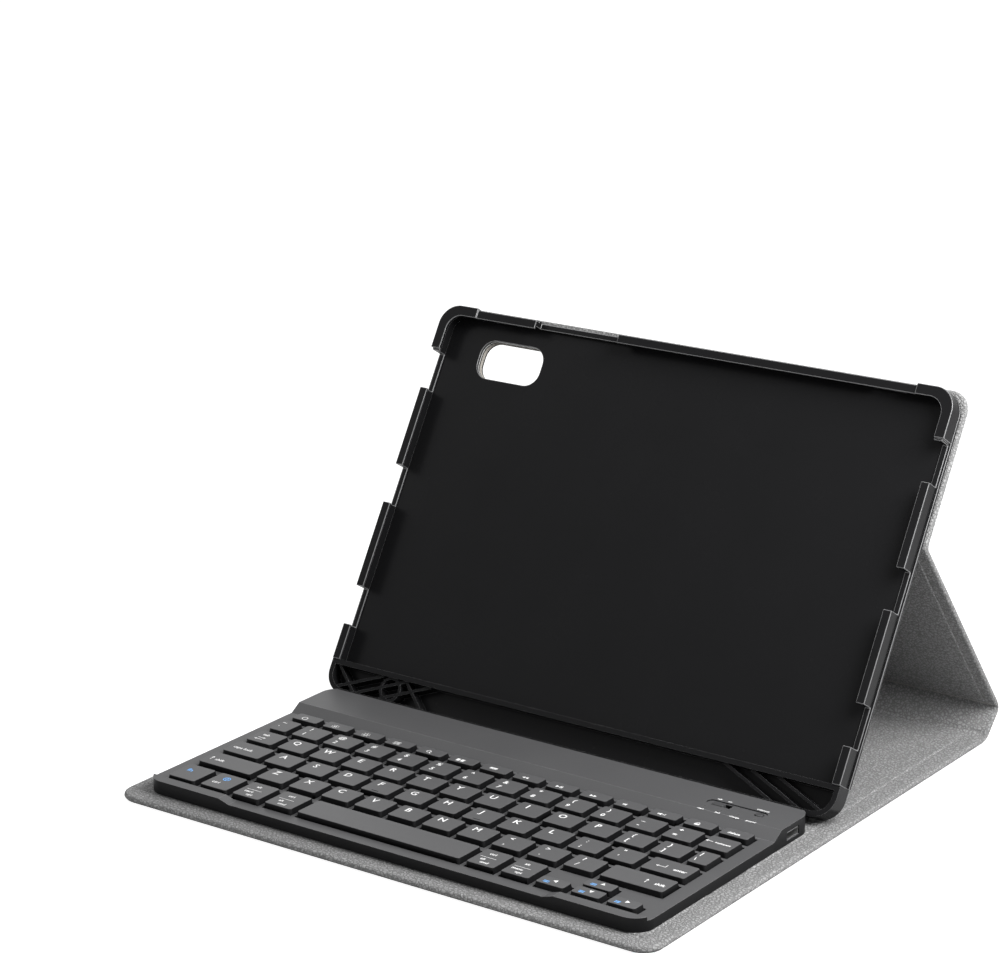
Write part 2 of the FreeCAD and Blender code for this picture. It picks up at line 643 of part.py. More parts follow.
space_start = "(%s + %d * %s)" % (LEFT, LEFT_MODIFIERS, PITCH)
space_width = "%s - key_gap - %s" % (from_right(5), space_start)
add_key("space_key", space_start, "front_margin", space_width, "bottom_key_depth")
for count in (5, 4):
    add_key("right_modifier_keys", from_right(count), "front_margin", "narrow_key_width", "bottom_key_depth")
for node, count in (("left_arrow_key", 3), ("down_arrow_key", 2), ("right_arrow_key", 1)):
    add_key(node, from_right(count), "front_margin", "narrow_key_width", HALF_KEY)
upper_half = "front_margin + %s + arrow_split" % HALF_KEY
add_key("up_arrow_key", from_right(2), upper_half, "narrow_key_width", HALF_KEY)

CAP_LOW = "(deck_height - cap_skirt)"
CAP_HEIGHT = "(cap_rise + cap_skirt)"
CAP_SIDE = "(cap_wall + cap_taper)"
MEMBRANE_TOP = "(floor_thick + plate_thick + membrane_thick)"
DOME_TOP = "(deck_height + cap_rise - cap_top_thick - key_travel - dome_clear)"


def key_cap(name, x, y, width, depth):
    """A hollow cap that narrows upwards, with rounded corners."""
    wedge = doc.addObject("Part::Wedge", name + "_wedge")
    bind(
        wedge, Xmin="0", Ymin="0", Zmin="0", X2min="cap_taper", Z2min="cap_taper", Ymax=CAP_HEIGHT,
        Xmax=width, Zmax=depth, X2max="%s - cap_taper" % width, Z2max="%s - cap_taper" % depth,
    )
    wedge.Placement.Rotation = FreeCAD.Rotation(FreeCAD.Vector(1, 0, 0), 90)
    place(wedge, x, "%s + %s" % (y, depth), CAP_LOW)
    cap = round_upright(name + "_cap", wedge, size("cap_corner"))
    inside = box(
        name + "_inside", "%s - 2 * %s" % (width, CAP_SIDE), "%s - 2 * %s" % (depth, CAP_SIDE),
        CAP_HEIGHT + " - cap_top_thick", "%s + %s" % (x, CAP_SIDE), "%s + %s" % (y, CAP_SIDE), CAP_LOW,
    )
    return cut(name, cap, [inside])


def key_hole(name, x, y, width, depth):
    """The hole in the deck that a cap goes down into."""
    return box(
        name, width + " + 2 * key_hole_fit", depth + " + 2 * key_hole_fit", "2 * deck_thick",
        x + " - key_hole_fit", y + " - key_hole_fit", "deck_height - 1.5 * deck_thick",
    )


def dome(name, x, y):
    thing = doc.addObject("Part::Cone", name)
    bind(thing, Radius1="dome_radius", Radius2="dome_top_radius", Height=DOME_TOP + " - " + MEMBRANE_TOP)
    return place(thing, x, y, MEMBRANE_TOP)


def scissor(name, x, y):
    """One folded scissor frame, a flat ring round the dome."""
    outer = centred_box(
        name + "_outer", "scissor_length", "scissor_depth", "scissor_height", x,
        "%s - scissor_depth / 2" % y, MEMBRANE_TOP,
    )
    inner = centred_box(
        name + "_inner", "scissor_length - 2 * scissor_bar", "scissor_depth - 2 * scissor_bar",
        "scissor_height", x, "%s - scissor_depth / 2 + scissor_bar" % y, MEMBRANE_TOP,
    )
    return cut(name, outer, [inner])


caps = {}
key_holes = []
domes = []
scissors = []
for number, (node, x, y, width, depth) in enumerate(KEYS):
    caps.setdefault(node, []).append(key_cap("key_%02d" % number, x, y, width, depth))
    key_holes.append(key_hole("key_hole_%02d" % number, x, y, width, depth))
    middle_x = "%s + %s / 2" % (x, width)
    middle_y = "%s + %s / 2" % (y, depth)
    domes.append(dome("dome_%02d" % number, middle_x, middle_y))
    scissors.append(scissor("scissor_%02d" % number, middle_x, middle_y))
for node, group in caps.items():
    piece(node, compound(node + "_row", group) if len(group) > 1 else group[0], keyboard_place)
piece("key_domes", compound("dome_group", domes), keyboard_place)
piece("scissor_frames", compound("scissor_group", scissors), keyboard_place)

# Sheets under the keys
for label, thick, low in (
    ("key_plate", "plate_thick", "floor_thick"),
    ("key_membrane", "membrane_thick", "floor_thick + plate_thick"),
):
    under_keys = centred_box(
        label + "_sheet", KEYBOARD_WIDTH + " - 2 * case_wall - 2 * sheet_margin",
        BAR_START + " - case_wall - sheet_margin", thick, "0", "case_wall + sheet_margin", low,
    )
    piece(label, under_keys, keyboard_place)

# Rear bar: what the case holds there and the holes for it
RECESS_X = "(%s - recess_from_end)" % HALF
RECESS_Y = "(%s - recess_from_rear)" % KEYBOARD_DEPTH
RECESS_FLOOR = "(bar_height - recess_depth)"
SOCKET_LOW = "(floor_thick + circuit_thick)"
SOCKET_X = "(%s - socket_depth - socket_set_back)" % HALF
KNOB_X = "(%s - knob_offset)" % RECESS_X
BUTTON_X = "(%s + button_offset)" % RECESS_X
ROOT_LOW = "(%s - knob_root)" % RECESS_FLOOR
SLOT_X = KNOB_X + " + knob_travel / 2"


def stadium(name, length, width, height, x, y, low):
    """A slot with round ends, its middle at x and y."""
    reach = "(%s - %s) / 2" % (length, width)
    ends = [
        cylinder("%s_end_%d" % (name, index), width + " / 2", height, "%s %s %s" % (x, sign, reach), y, low)
        for index, sign in enumerate("-+")
    ]
    middle = centred_box(
        name + "_middle", "%s - %s" % (length, width), width, height, x, "%s - %s / 2" % (y, width), low
    )
    return fuse(name, ends + [middle])


def row_block(name, length, width, height, x, low):
    """A block whose middle is on the recess's line."""
    return centred_box(name, length, width, height, x, "%s - (%s) / 2" % (RECESS_Y, width), low)


def light(name, step):
    return centred_box(
        name, "light_width", "light_length", "light_height", "%s + %s * light_pitch" % (RECESS_X, step),
        RECESS_Y + " - light_row_drop - light_length / 2", "bar_height - light_height",
    )


def light_row(name):
    steps = ("-1.5", "-0.5", "0.5", "1.5")
    return [light("%s_%d" % (name, index), step) for index, step in enumerate(steps)]


socket_hole = box(
    "socket_hole", "socket_depth + case_corner", "socket_width + 2 * socket_fit",
    "socket_height + 2 * socket_fit", SOCKET_X + " - socket_fit",
    RECESS_Y + " - socket_width / 2 - socket_fit", SOCKET_LOW + " - socket_fit",
)
recess = stadium("recess", "recess_length", "recess_width", "bar_height", RECESS_X, RECESS_Y, RECESS_FLOOR)
knob_slot = row_block(
    "knob_slot", "knob_length + knob_travel + 2 * knob_fit", "knob_width + 2 * knob_fit", "bar_height",
    SLOT_X, ROOT_LOW,
)
button_hole = cylinder("button_hole", "button_radius + knob_fit", "bar_height", BUTTON_X, RECESS_Y, ROOT_LOW)
holes = [deck_space, bar_space, socket_hole, recess, knob_slot, button_hole] + light_row("light_slot")
hollowed = cut("case_hollowed", case_solid, [fuse("case_hollow", holes)])
piece("keyboard_top", cut("case_with_keyholes", hollowed, key_holes), keyboard_place)
piece("keyboard_floor", case_plan("floor_plan", "case_wall", "floor_thick"), keyboard_place)
piece("light_pipes", compound("light_group", light_row("light_pipe")), keyboard_place)

CELL_X = "(case_corner + cell_from_side - %s)" % HALF
cell = box(
    "cell", "cell_length", BAR_RUN + " - 2 * bar_clear", "cell_height", CELL_X, BAR_LOW + " + bar_clear",
    "floor_thick",
)
piece("battery_cell", cell, keyboard_place)
CIRCUIT_X = "(%s - case_corner - bar_clear - circuit_length)" % HALF
circuit = box(
    "circuit", "circuit_length", BAR_RUN + " - 2 * bar_clear", "circuit_thick", CIRCUIT_X,
    BAR_LOW + " + bar_clear", "floor_thick",
)
piece("circuit_board", circuit, keyboard_place)
socket_body = box(
    "socket_body", "socket_depth", "socket_width", "socket_height", SOCKET_X,
    RECESS_Y + " - socket_width / 2", SOCKET_LOW,
)
socket_mouth = box(
    "socket_mouth", "socket_depth", "socket_width - 2 * socket_wall", "socket_height - 2 * socket_wall",
    SOCKET_X + " + socket_wall", RECESS_Y + " - socket_width / 2 + socket_wall",
    SOCKET_LOW + " + socket_wall",
)
piece("charging_socket", cut("socket_shell", socket_body, [socket_mouth]), keyboard_place)
switch = row_block(
    "switch_block", "switch_length", "switch_width", "%s - %s - knob_fit" % (ROOT_LOW, SOCKET_LOW), SLOT_X,
    SOCKET_LOW,
)
piece("slide_switch", switch, keyboard_place)
knob = row_block("knob_block", "knob_length", "knob_width", "knob_root + knob_rise", KNOB_X, ROOT_LOW)
piece("power_knob", knob, keyboard_place)
button = cylinder("button_rod", "button_radius", "knob_root + knob_rise", BUTTON_X, RECESS_Y, ROOT_LOW)
piece("connect_button", button, keyboard_place)

# Build, test every object and every sub-part, then write one file for each sub-part
doc.removeObject("Probe")
doc.recompute()
failed = [thing.Name for thing in doc.Objects if "Invalid" in thing.State or "Error" in thing.State]
if failed:
    raise RuntimeError("objects that failed: %s" % ", ".join(failed))
for thing in PIECES:
    if thing.Shape.isNull() or not thing.Shape.isValid():
        raise RuntimeError("no valid shape: %s" % thing.Label)
os.makedirs("parts", exist_ok=True)
for thing in PIECES:
    thing.Shape.exportStep("parts/%s.step" % thing.Label)
    print(thing.Label, len(thing.Shape.Solids), round(thing.Shape.Volume, 1))
for name, line in (("spine", spine_line), ("leg", leg_line), ("upper", upper_line)):
    print("%s fold line" % name, [round(number, 4) for number in line])
print("tray origin", [round(number, 4) for number in tray_origin])
print("keyboard front", round(keyboard_front, 4))
print("pieces", len(PIECES))
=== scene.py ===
# %% [markdown]
# # A keyboard case that opens as a stand
# The case is a folding cover of laminated panels, a moulded tray, and a loose keyboard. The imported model
# already has every solid in its place, so this lesson only dresses it: soft leatherette sheets, rounded
# mouldings, key caps with printed signs, and a plain studio round them.

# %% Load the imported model
import json
import math

import bmesh
import bpy
from mathutils import Matrix, Vector


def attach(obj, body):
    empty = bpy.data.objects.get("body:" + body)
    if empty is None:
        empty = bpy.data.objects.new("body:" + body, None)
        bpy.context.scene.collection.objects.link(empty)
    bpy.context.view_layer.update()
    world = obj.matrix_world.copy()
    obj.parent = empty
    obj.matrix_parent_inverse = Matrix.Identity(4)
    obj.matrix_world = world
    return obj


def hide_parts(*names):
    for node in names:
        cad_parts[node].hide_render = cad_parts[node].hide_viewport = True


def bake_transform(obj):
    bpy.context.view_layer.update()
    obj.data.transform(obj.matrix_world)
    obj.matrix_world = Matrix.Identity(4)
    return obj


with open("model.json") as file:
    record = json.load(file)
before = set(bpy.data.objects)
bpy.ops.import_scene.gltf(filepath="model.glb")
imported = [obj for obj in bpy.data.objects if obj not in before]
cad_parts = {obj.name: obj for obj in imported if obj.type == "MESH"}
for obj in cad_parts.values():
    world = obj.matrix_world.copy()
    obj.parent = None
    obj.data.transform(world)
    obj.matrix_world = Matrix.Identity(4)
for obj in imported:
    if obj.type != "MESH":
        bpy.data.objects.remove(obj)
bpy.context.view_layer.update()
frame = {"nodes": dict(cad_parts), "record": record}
MM = 0.001

# %% [markdown]
# ## Camera
# A catalogue picture of such a case is taken from the front right, a little above the table, with a long
# lens that keeps the edges nearly parallel. The camera could be aimed with a constraint, but writing its
# three axes into its matrix keeps the view exact and easy to read.

# %% Camera
IMAGE_WIDTH = 1000
FOCAL_PIXELS = 3172.24
SENSOR_WIDTH = 36
YAW = math.radians(35.61)
PITCH = math.radians(16.637)
CAMERA_PLACE = (0.70894, -1.07346, 0.50454)

backward = Vector((math.sin(YAW) * math.cos(PITCH), -math.cos(YAW) * math.cos(PITCH), math.sin(PITCH)))
rightward = Vector((math.cos(YAW), math.sin(YAW), 0))
upward = backward.cross(rightward)
axes = Matrix((rightward, upward, backward)).transposed()

lens = bpy.data.cameras.new("studio_lens")
lens.sensor_width = SENSOR_WIDTH
lens.lens = FOCAL_PIXELS * SENSOR_WIDTH / IMAGE_WIDTH
camera = bpy.data.objects.new("studio_camera", lens)
camera.matrix_world = Matrix.Translation(CAMERA_PLACE) @ axes.to_4x4()
bpy.context.scene.collection.objects.link(camera)
bpy.context.scene.camera = camera
bpy.context.scene.view_settings.view_transform = "Standard"
print("lens in mm:", round(lens.lens, 1))

# %% [markdown]
# ## Studio
# The background is plain white. Flooding the case with light would wash out its blacks, so the world and
# the floor look white to the camera while they light the case at a plain level. A lamp close by at the
# right gives the soft gradients along the panels, and weaker ones in front, behind and at the left keep
# the dark sides readable.

# %% Node helper and white world
AMBIENT = 0.31


def add_node(tree, kind, sockets=None, **options):
    """A node of this kind with its options and sockets set."""
    node = tree.nodes.new("ShaderNode" + kind)
    for name, option in options.items():
        setattr(node, name, option)
    for name, number in (sockets or {}).items():
        node.inputs[name].default_value = number
    return node


def seen_directly(tree):
    """One for rays from the camera, a mirror or a glass, and zero for rays that carry light."""
    path = add_node(tree, "LightPath")
    total = path.outputs["Is Camera Ray"]
    for name in ("Is Glossy Ray", "Is Transmission Ray"):
        larger = add_node(tree, "Math", operation="MAXIMUM")
        tree.links.new(total, larger.inputs[0])
        tree.links.new(path.outputs[name], larger.inputs[1])
        total = larger.outputs[0]
    return total


world = bpy.data.worlds.new("white_room")
world.use_nodes = True
bpy.context.scene.world = world
sky = world.node_tree.nodes["Background"]
sky.inputs["Color"].default_value = (1, 1, 1, 1)
level = add_node(world.node_tree, "MapRange", {"To Min": AMBIENT, "To Max": 1})
world.node_tree.links.new(seen_directly(world.node_tree), level.inputs["Value"])
world.node_tree.links.new(level.outputs["Result"], sky.inputs["Strength"])
print("world light:", AMBIENT)

# %% Floor
FLOOR_HALF = 6
FLOOR_DROP = 0.0002
FLOOR_TONE = 0.45
FLOOR_GLOW = 0.9


def put_in_scene(obj):
    bpy.context.scene.collection.objects.link(obj)
    return obj


floor_bm = bmesh.new()
bmesh.ops.create_grid(floor_bm, x_segments=1, y_segments=1, size=FLOOR_HALF)
bmesh.ops.translate(floor_bm, vec=(0, 0, -FLOOR_DROP), verts=floor_bm.verts)
floor_mesh = bpy.data.meshes.new("floor")
floor_bm.to_mesh(floor_mesh)
floor_bm.free()
floor_paint = bpy.data.materials.new("white_floor")
floor_paint.use_nodes = True
floor_tree = floor_paint.node_tree
floor_shader = floor_tree.nodes["Principled BSDF"]
floor_shader.inputs["Base Color"].default_value = (FLOOR_TONE, FLOOR_TONE, FLOOR_TONE, 1)
floor_shader.inputs["Roughness"].default_value = 0.9
floor_shader.inputs["Specular IOR Level"].default_value = 0
floor_shader.inputs["Emission Color"].default_value = (1, 1, 1, 1)
glow = add_node(floor_tree, "MapRange", {"To Max": FLOOR_GLOW})
floor_tree.links.new(seen_directly(floor_tree), glow.inputs["Value"])
floor_tree.links.new(glow.outputs["Result"], floor_shader.inputs["Emission Strength"])
floor_mesh.materials.append(floor_paint)
floor = put_in_scene(bpy.data.objects.new("floor", floor_mesh))
print("floor side in m:", 2 * FLOOR_HALF)

# %% Lamps
AIM = Vector((0, 0, 0.06))
# Name: place and side in metres, and power in watts
LAMPS = {
    "key_lamp": ((0.42, -0.05, 0.45), 0.35, 6.2),
    "front_lamp": ((0.3, -1.4, 0.6), 0.8, 1.5),
    "back_lamp": ((-0.6, 1.1, 0.9), 0.8, 4),
    "left_lamp": ((-1.0, -0.3, 0.6), 0.8, 2),
}
for name, (place, side, power) in LAMPS.items():
    lamp = bpy.data.lights.new(name, "AREA")
    lamp.size = side
    lamp.energy = power
    stand = put_in_scene(bpy.data.objects.new(name, lamp))
    stand.location = place
    stand.rotation_euler = (AIM - Vector(place)).to_track_quat("-Z", "Y").to_euler()
print("lamps:", len(LAMPS))

# %% [markdown]
# ## Leatherette and lining
# The outer skin is black leatherette with a pebbled grain of about two millimetres, and the lining is a
# grey sheet with a slightly finer grain. A picture could be wrapped round them, but a cell pattern in
# space has no seams and the same size on every panel: the distance to a cell's edge is the pebble's
# height, and that height drives the colour, the gloss and the bump together.

# %% Finish helpers


def toned(colour, factor):
    return (*(min(1, channel * factor) for channel in colour), 1)


def start_finish(name, roughness, specular, metallic=0):
    """A new material, and the place on the piece that its patterns read."""
    material = bpy.data.materials.new(name)
    material.use_nodes = True
    tree = material.node_tree
    shader = tree.nodes["Principled BSDF"]
    shader.inputs["Roughness"].default_value = roughness
    shader.inputs["Specular IOR Level"].default_value = specular
    shader.inputs["Metallic"].default_value = metallic
    return material, tree, shader, add_node(tree, "TexCoord").outputs["Object"]


def tint_by(tree, shader, height, colour, low, high):
    """The colour from a darker to a lighter tone along a height."""
    ramp = add_node(tree, "ValToRGB")
    ramp.color_ramp.elements[0].color = toned(colour, low)
    ramp.color_ramp.elements[1].color = toned(colour, high)
    tree.links.new(height, ramp.inputs[0])
    tree.links.new(ramp.outputs["Color"], shader.inputs["Base Color"])


def gloss_by(tree, shader, height, low, high):
    spread = add_node(tree, "MapRange", {"To Min": low, "To Max": high})
    tree.links.new(height, spread.inputs["Value"])
    tree.links.new(spread.outputs["Result"], shader.inputs["Roughness"])


def bump_by(tree, shader, height, depth):
    bump = add_node(tree, "Bump", {"Strength": 1, "Distance": depth})
    tree.links.new(height, bump.inputs["Height"])
    tree.links.new(bump.outputs["Normal"], shader.inputs["Normal"])


print("finish helpers: 5")

# %% Black leatherette and grey lining
# In cells: how often the outlines wander and how far, and how wide a pebble's shoulder is
WANDER_RATE = 0.7
WANDER_REACH = 1.3
PEBBLE_SHOULDER = 0.28
# Pores across a cell, and their height against a pebble's
PORE_RATE = 6
PORE_HEIGHT = 0.4
# How much rougher the furrows are, and how much smoother the crowns
FURROW_ROUGHNESS = 0.12
CROWN_POLISH = 0.04


def grained_leather(name, colour, cell, depth, roughness, specular, contrast):
    """Leatherette whose pebbles are about one cell across."""
    material, tree, shader, place = start_finish(name, roughness, specular)
    wander = add_node(tree, "TexNoise", {"Scale": WANDER_RATE / cell, "Detail": 2})
    tree.links.new(place, wander.inputs["Vector"])
    shifted = add_node(tree, "VectorMath", operation="MULTIPLY_ADD")
    shifted.inputs[1].default_value = [WANDER_REACH * cell] * 3
    tree.links.new(wander.outputs["Color"], shifted.inputs[0])
    tree.links.new(place, shifted.inputs[2])
    pebble = add_node(tree, "TexVoronoi", {"Scale": 1 / cell}, feature="DISTANCE_TO_EDGE")
    tree.links.new(shifted.outputs["Vector"], pebble.inputs["Vector"])
    crown = add_node(tree, "MapRange", {"From Max": PEBBLE_SHOULDER}, interpolation_type="SMOOTHSTEP")
    tree.links.new(pebble.outputs["Distance"], crown.inputs["Value"])
    pores = add_node(tree, "TexNoise", {"Scale": PORE_RATE / cell, "Detail": 3})
    tree.links.new(place, pores.inputs["Vector"])
    height = add_node(tree, "Math", operation="MULTIPLY_ADD")
    height.inputs[1].default_value = PORE_HEIGHT
    tree.links.new(pores.outputs[0], height.inputs[0])
    tree.links.new(crown.outputs["Result"], height.inputs[2])
    tint_by(tree, shader, crown.outputs["Result"], colour, 1 - contrast, 1 + contrast / 2)
    dull = roughness + FURROW_ROUGHNESS
    gloss_by(tree, shader, crown.outputs["Result"], dull, roughness - CROWN_POLISH)
    bump_by(tree, shader, height.outputs[0], depth)
    return material


BLACK = (0.016, 0.016, 0.017)
GREY = (0.235, 0.235, 0.235)
black_leatherette = grained_leather("black_leatherette", BLACK, 2.0 * MM, 0.16 * MM, 0.5, 0.3, 0.5)
grey_lining = grained_leather("grey_lining", GREY, 1.5 * MM, 0.2 * MM, 0.6, 0.2, 0.35)
print("leathers:", black_leatherette.name, grey_lining.name)

# %% [markdown]
# ## Moulded plastics, inks and inner parts
# The tray is a dark satin moulding and the keyboard a matte one, both with the fine spark texture of
# their moulds. One function makes them all: a fine noise for the texture and a slow one that varies the
# tone and the gloss a little, as handling does. Rounded edges get a lighter copy of their finish, a
# painted highlight for the line of light that such edges catch, and the keyboard's sides and the caps'
# flanks get near-black copies, painted shade. The parts inside the keyboard use the function too.

# %% Moulded finishes
CLOUD_SCALE = 30
CLOUD_GLOSS = 0.06


def moulded(name, colour, grain, depth, roughness, specular=0.4, mottle=0.08, metallic=0):
    """A moulded, plated or printed surface with a fine texture."""
    material, tree, shader, place = start_finish(name, roughness, specular, metallic)
    spark = add_node(tree, "TexNoise", {"Scale": 1 / grain, "Detail": 3})
    cloud = add_node(tree, "TexNoise", {"Scale": CLOUD_SCALE, "Detail": 4})
    for pattern in (spark, cloud):
        tree.links.new(place, pattern.inputs["Vector"])
    tint_by(tree, shader, cloud.outputs[0], colour, 1 - mottle, 1 + mottle)
    gloss_by(tree, shader, cloud.outputs[0], roughness - CLOUD_GLOSS, roughness + CLOUD_GLOSS)
    bump_by(tree, shader, spark.outputs[0], depth)
    return material


tray_moulding = moulded("tray_moulding", (0.008, 0.008, 0.0085), 0.3 * MM, 0.012 * MM, 0.26, 0.06)
case_moulding = moulded("case_moulding", (0.07, 0.07, 0.072), 0.22 * MM, 0.016 * MM, 0.48, 0.22)
# Painted shade: a near-black copy of the case moulding for the keyboard's sides
case_side_painted_shade = moulded("case_side_painted_shade", (0.007, 0.007, 0.0075), 0.22 * MM, 0.014 * MM, 0.42, 0.1)
# Painted highlight: lighter copies of the tray and case mouldings for their rounded edges
tray_edge_painted_highlight = moulded("tray_edge_painted_highlight", (0.12, 0.12, 0.122), 0.3 * MM, 0.01 * MM, 0.3, 0.5)
case_edge_painted_highlight = moulded("case_edge_painted_highlight", (0.2, 0.2, 0.205), 0.2 * MM, 0.01 * MM, 0.35, 0.4)
key_top = moulded("key_top", (0.075, 0.075, 0.077), 0.2 * MM, 0.012 * MM, 0.52, 0.3)
# Painted shade: a near-black copy of the cap finish for the caps' flanks
key_side_painted_shade = moulded("key_side_painted_shade", (0.005, 0.005, 0.0055), 0.2 * MM, 0.01 * MM, 0.5, 0.1)
control_plastic = moulded("control_plastic", (0.05, 0.05, 0.052), 0.2 * MM, 0.01 * MM, 0.4, 0.4)
white_ink = moulded("white_ink", (0.82, 0.82, 0.82), 0.1 * MM, 0.004 * MM, 0.6, 0.2, 0.03)
blue_ink = moulded("blue_ink", (0.16, 0.42, 0.85), 0.1 * MM, 0.004 * MM, 0.6, 0.2, 0.03)
lamp_lens = moulded("lamp_lens", (0.1, 0.1, 0.1), 0.3 * MM, 0.004 * MM, 0.2, 0.5)
print("moulded finishes: 11")

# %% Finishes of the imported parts, by slot
FINISHES = {
    "skin": black_leatherette,
    "lining": grey_lining,
    "tray": tray_moulding,
    "case": case_moulding,
    "key": key_top,
    "control": control_plastic,
    "light": lamp_lens,
    "board": moulded("grey_board", (0.35, 0.33, 0.3), 0.5 * MM, 0.05 * MM, 0.9, 0.1),
    "padding": moulded("thin_padding", (0.3, 0.3, 0.3), 0.6 * MM, 0.1 * MM, 0.95, 0.1),
    "magnet": moulded("plated_magnet", (0.6, 0.6, 0.6), 0.4 * MM, 0.01 * MM, 0.3, 0.5, 0.05, 1),
    "glue": moulded("adhesive_sheet", (0.7, 0.7, 0.68), 0.5 * MM, 0.02 * MM, 0.5, 0.4),
    "steel": moulded("steel_sheet", (0.5, 0.5, 0.5), 0.3 * MM, 0.008 * MM, 0.32, 0.5, 0.05, 1),
    "film": moulded("switch_film", (0.7, 0.7, 0.66), 0.4 * MM, 0.01 * MM, 0.3, 0.5),
    "dome": moulded("silicone", (0.75, 0.75, 0.73), 0.3 * MM, 0.01 * MM, 0.45, 0.4),
    "mechanism": moulded("mechanism_plastic", (0.65, 0.65, 0.65), 0.3 * MM, 0.01 * MM, 0.45, 0.4),
    "cell": moulded("pouch_foil", (0.6, 0.6, 0.62), 0.8 * MM, 0.05 * MM, 0.35, 0.5, 0.06, 1),
    "circuit": moulded("circuit_resin", (0.02, 0.12, 0.06), 0.5 * MM, 0.02 * MM, 0.35, 0.5, 0.2),
}
node_slots = {part["node"]: part["material_slot"] for part in frame["record"]["subparts"]}
for node, slot in node_slots.items():
    surface = frame["nodes"][node].data
    surface.materials.clear()
    surface.materials.append(FINISHES[slot])
print("slots in use:", len(set(node_slots.values())))

# %% [markdown]
# ## Cover panels
# Each panel is a thin skin and a thicker lining, glued round a board. The lining wraps the edge, and the
# middle of the panel stands a little proud of its rim, with a soft shoulder round it. A plate with a
# bevel would do for one panel, so a function does it for all: a block for each sheet, its outer edge
# rounded, a pocket for the board inside, and a field made by cutting the face with four planes and
# insetting its middle three times, each time a little higher.

# %% Shape helpers
COVER_HALF = 132.0
PANEL_THICK = 3.4
EDGE_STEPS = 4
TOLERANCE = 1e-3
HAIR = 1e-4
# How far each sheet stays inside the cover's outline
DRAW_IN = {"skin": 0.6, "lining": 0}
# Lowest and highest level of each sheet's rim, the level of its outer face, and the radius at each level
LEVELS = {"skin": (0.25, 0.75), "lining": (0.75, 2.9)}
OUTER_LEVEL = {"skin": 0.25, "lining": 2.9}
EDGE_ROUNDS = {"skin": {0.25: 0.35}, "lining": {2.9: 1.2, 0.75: 0.7}}


def near(first, second):
    return abs(first - second) < TOLERANCE


def middle(edge):
    return (edge.verts[0].co + edge.verts[1].co) / 2


def upright(edge):
    span = edge.verts[0].co - edge.verts[1].co
    return near(span.x, 0) and near(span.y, 0)


def block(bm, low, high):
    """A block between two corners."""
    made = bmesh.ops.create_cube(bm, size=1)["verts"]
    bmesh.ops.scale(bm, vec=Vector(high) - Vector(low), verts=made)
    bmesh.ops.translate(bm, vec=(Vector(high) + Vector(low)) / 2, verts=made)
    return made


def round_edges(bm, edges, radius, steps, affect="EDGES"):
    made = bmesh.ops.bevel(
        bm, geom=edges, offset=radius, offset_type="OFFSET", affect=affect, segments=steps,
        profile=0.5, material=-1, clamp_overlap=True,
    )
    return made["faces"]


def finished(name, bm, materials, smooth=35, even=True):
    """An object at the origin, in metres, from a bmesh in millimetres."""
    bmesh.ops.scale(bm, vec=(MM, MM, MM), verts=bm.verts)
    mesh = bpy.data.meshes.new(name)
    bm.to_mesh(mesh)
    bm.free()
    for material in materials:
        mesh.materials.append(material)
    mesh.shade_smooth()
    mesh.set_sharp_from_angle(angle=math.radians(smooth))
    obj = put_in_scene(bpy.data.objects.new(name, mesh))
    if even:
        obj.modifiers.new("even_shading", "WEIGHTED_NORMAL").keep_sharp = True
    return obj


print("cover width in mm:", 2 * COVER_HALF)

# %% Half a panel
COVER_CORNER = 9
CORNER_STEPS = 8
POCKET_RIM = 1.5
POCKET_DEPTH = 1.87
POCKET_DRAFT = 0.001
FOLD_LINE = 0.6
FIELD_RISE = {"skin": 0.25, "lining": 0.5}
# Width of each step of the shoulder in mm, and its share of the rise
SHOULDER = ((0.25, 0.6), (0.3, 0.3), (0.35, 0.1))


def inset(bm, faces, thickness, depth):
    bmesh.ops.inset_region(
        bm, faces=faces, thickness=thickness, depth=depth, use_boundary=True, use_even_offset=True
    )


def level_faces(bm, level):
    """The faces that lie flat at this height."""
    return [face for face in bm.faces if all(near(vert.co.z, level) for vert in face.verts)]


def raise_field(bm, layer, half, low, high):
    """A field that stands out of the outer face, with a soft shoulder."""
    across = Vector((1, 0, 0))
    along = Vector((0, 1, 0))
    for distance, normal in ((half, across), (-half, across), (low, along), (high, along)):
        everything = bm.verts[:] + bm.edges[:] + bm.faces[:]
        bmesh.ops.bisect_plane(bm, geom=everything, dist=HAIR, plane_co=distance * normal, plane_no=normal)
    field = []
    for face in level_faces(bm, OUTER_LEVEL[layer]):
        centre = face.calc_center_median()
        if abs(centre.x) < half and low < centre.y < high:
            field.append(face)
    for width, share in SHOULDER:
        inset(bm, field, width, share * FIELD_RISE[layer])


def half_panel(layer, start, end, free_end, field_inset, pocket):
    """The skin or the lining of a panel, in the panel's own frame."""
    low, high = LEVELS[layer]
    half = COVER_HALF - DRAW_IN[layer]
    far = end - DRAW_IN[layer] if free_end else end
    bm = bmesh.new()
    block(bm, (-half, start, low), (half, far, high))
    if free_end:
        corners = [edge for edge in bm.edges if upright(edge) and near(middle(edge).y, far)]
        round_edges(bm, corners, COVER_CORNER - DRAW_IN[layer], CORNER_STEPS)
    fold_ends = (start,) if free_end else (start, far)
    for level, radius in EDGE_ROUNDS[layer].items():
        rim = []
        for edge in bm.edges:
            at_level = all(near(vert.co.z, level) for vert in edge.verts)
            at_fold = any(all(near(vert.co.y, y) for vert in edge.verts) for y in fold_ends)
            if at_level and not at_fold:
                rim.append(edge)
        round_edges(bm, rim, radius, EDGE_STEPS)
    if pocket and layer == "lining":
        inner = level_faces(bm, low)
        inset(bm, inner, POCKET_RIM, 0)
        inset(bm, inner, POCKET_DRAFT, -POCKET_DEPTH)
    if field_inset:
        far_line = field_inset if free_end else FOLD_LINE
        raise_field(bm, layer, COVER_HALF - field_inset, start + FOLD_LINE, end - far_line)
    return bm


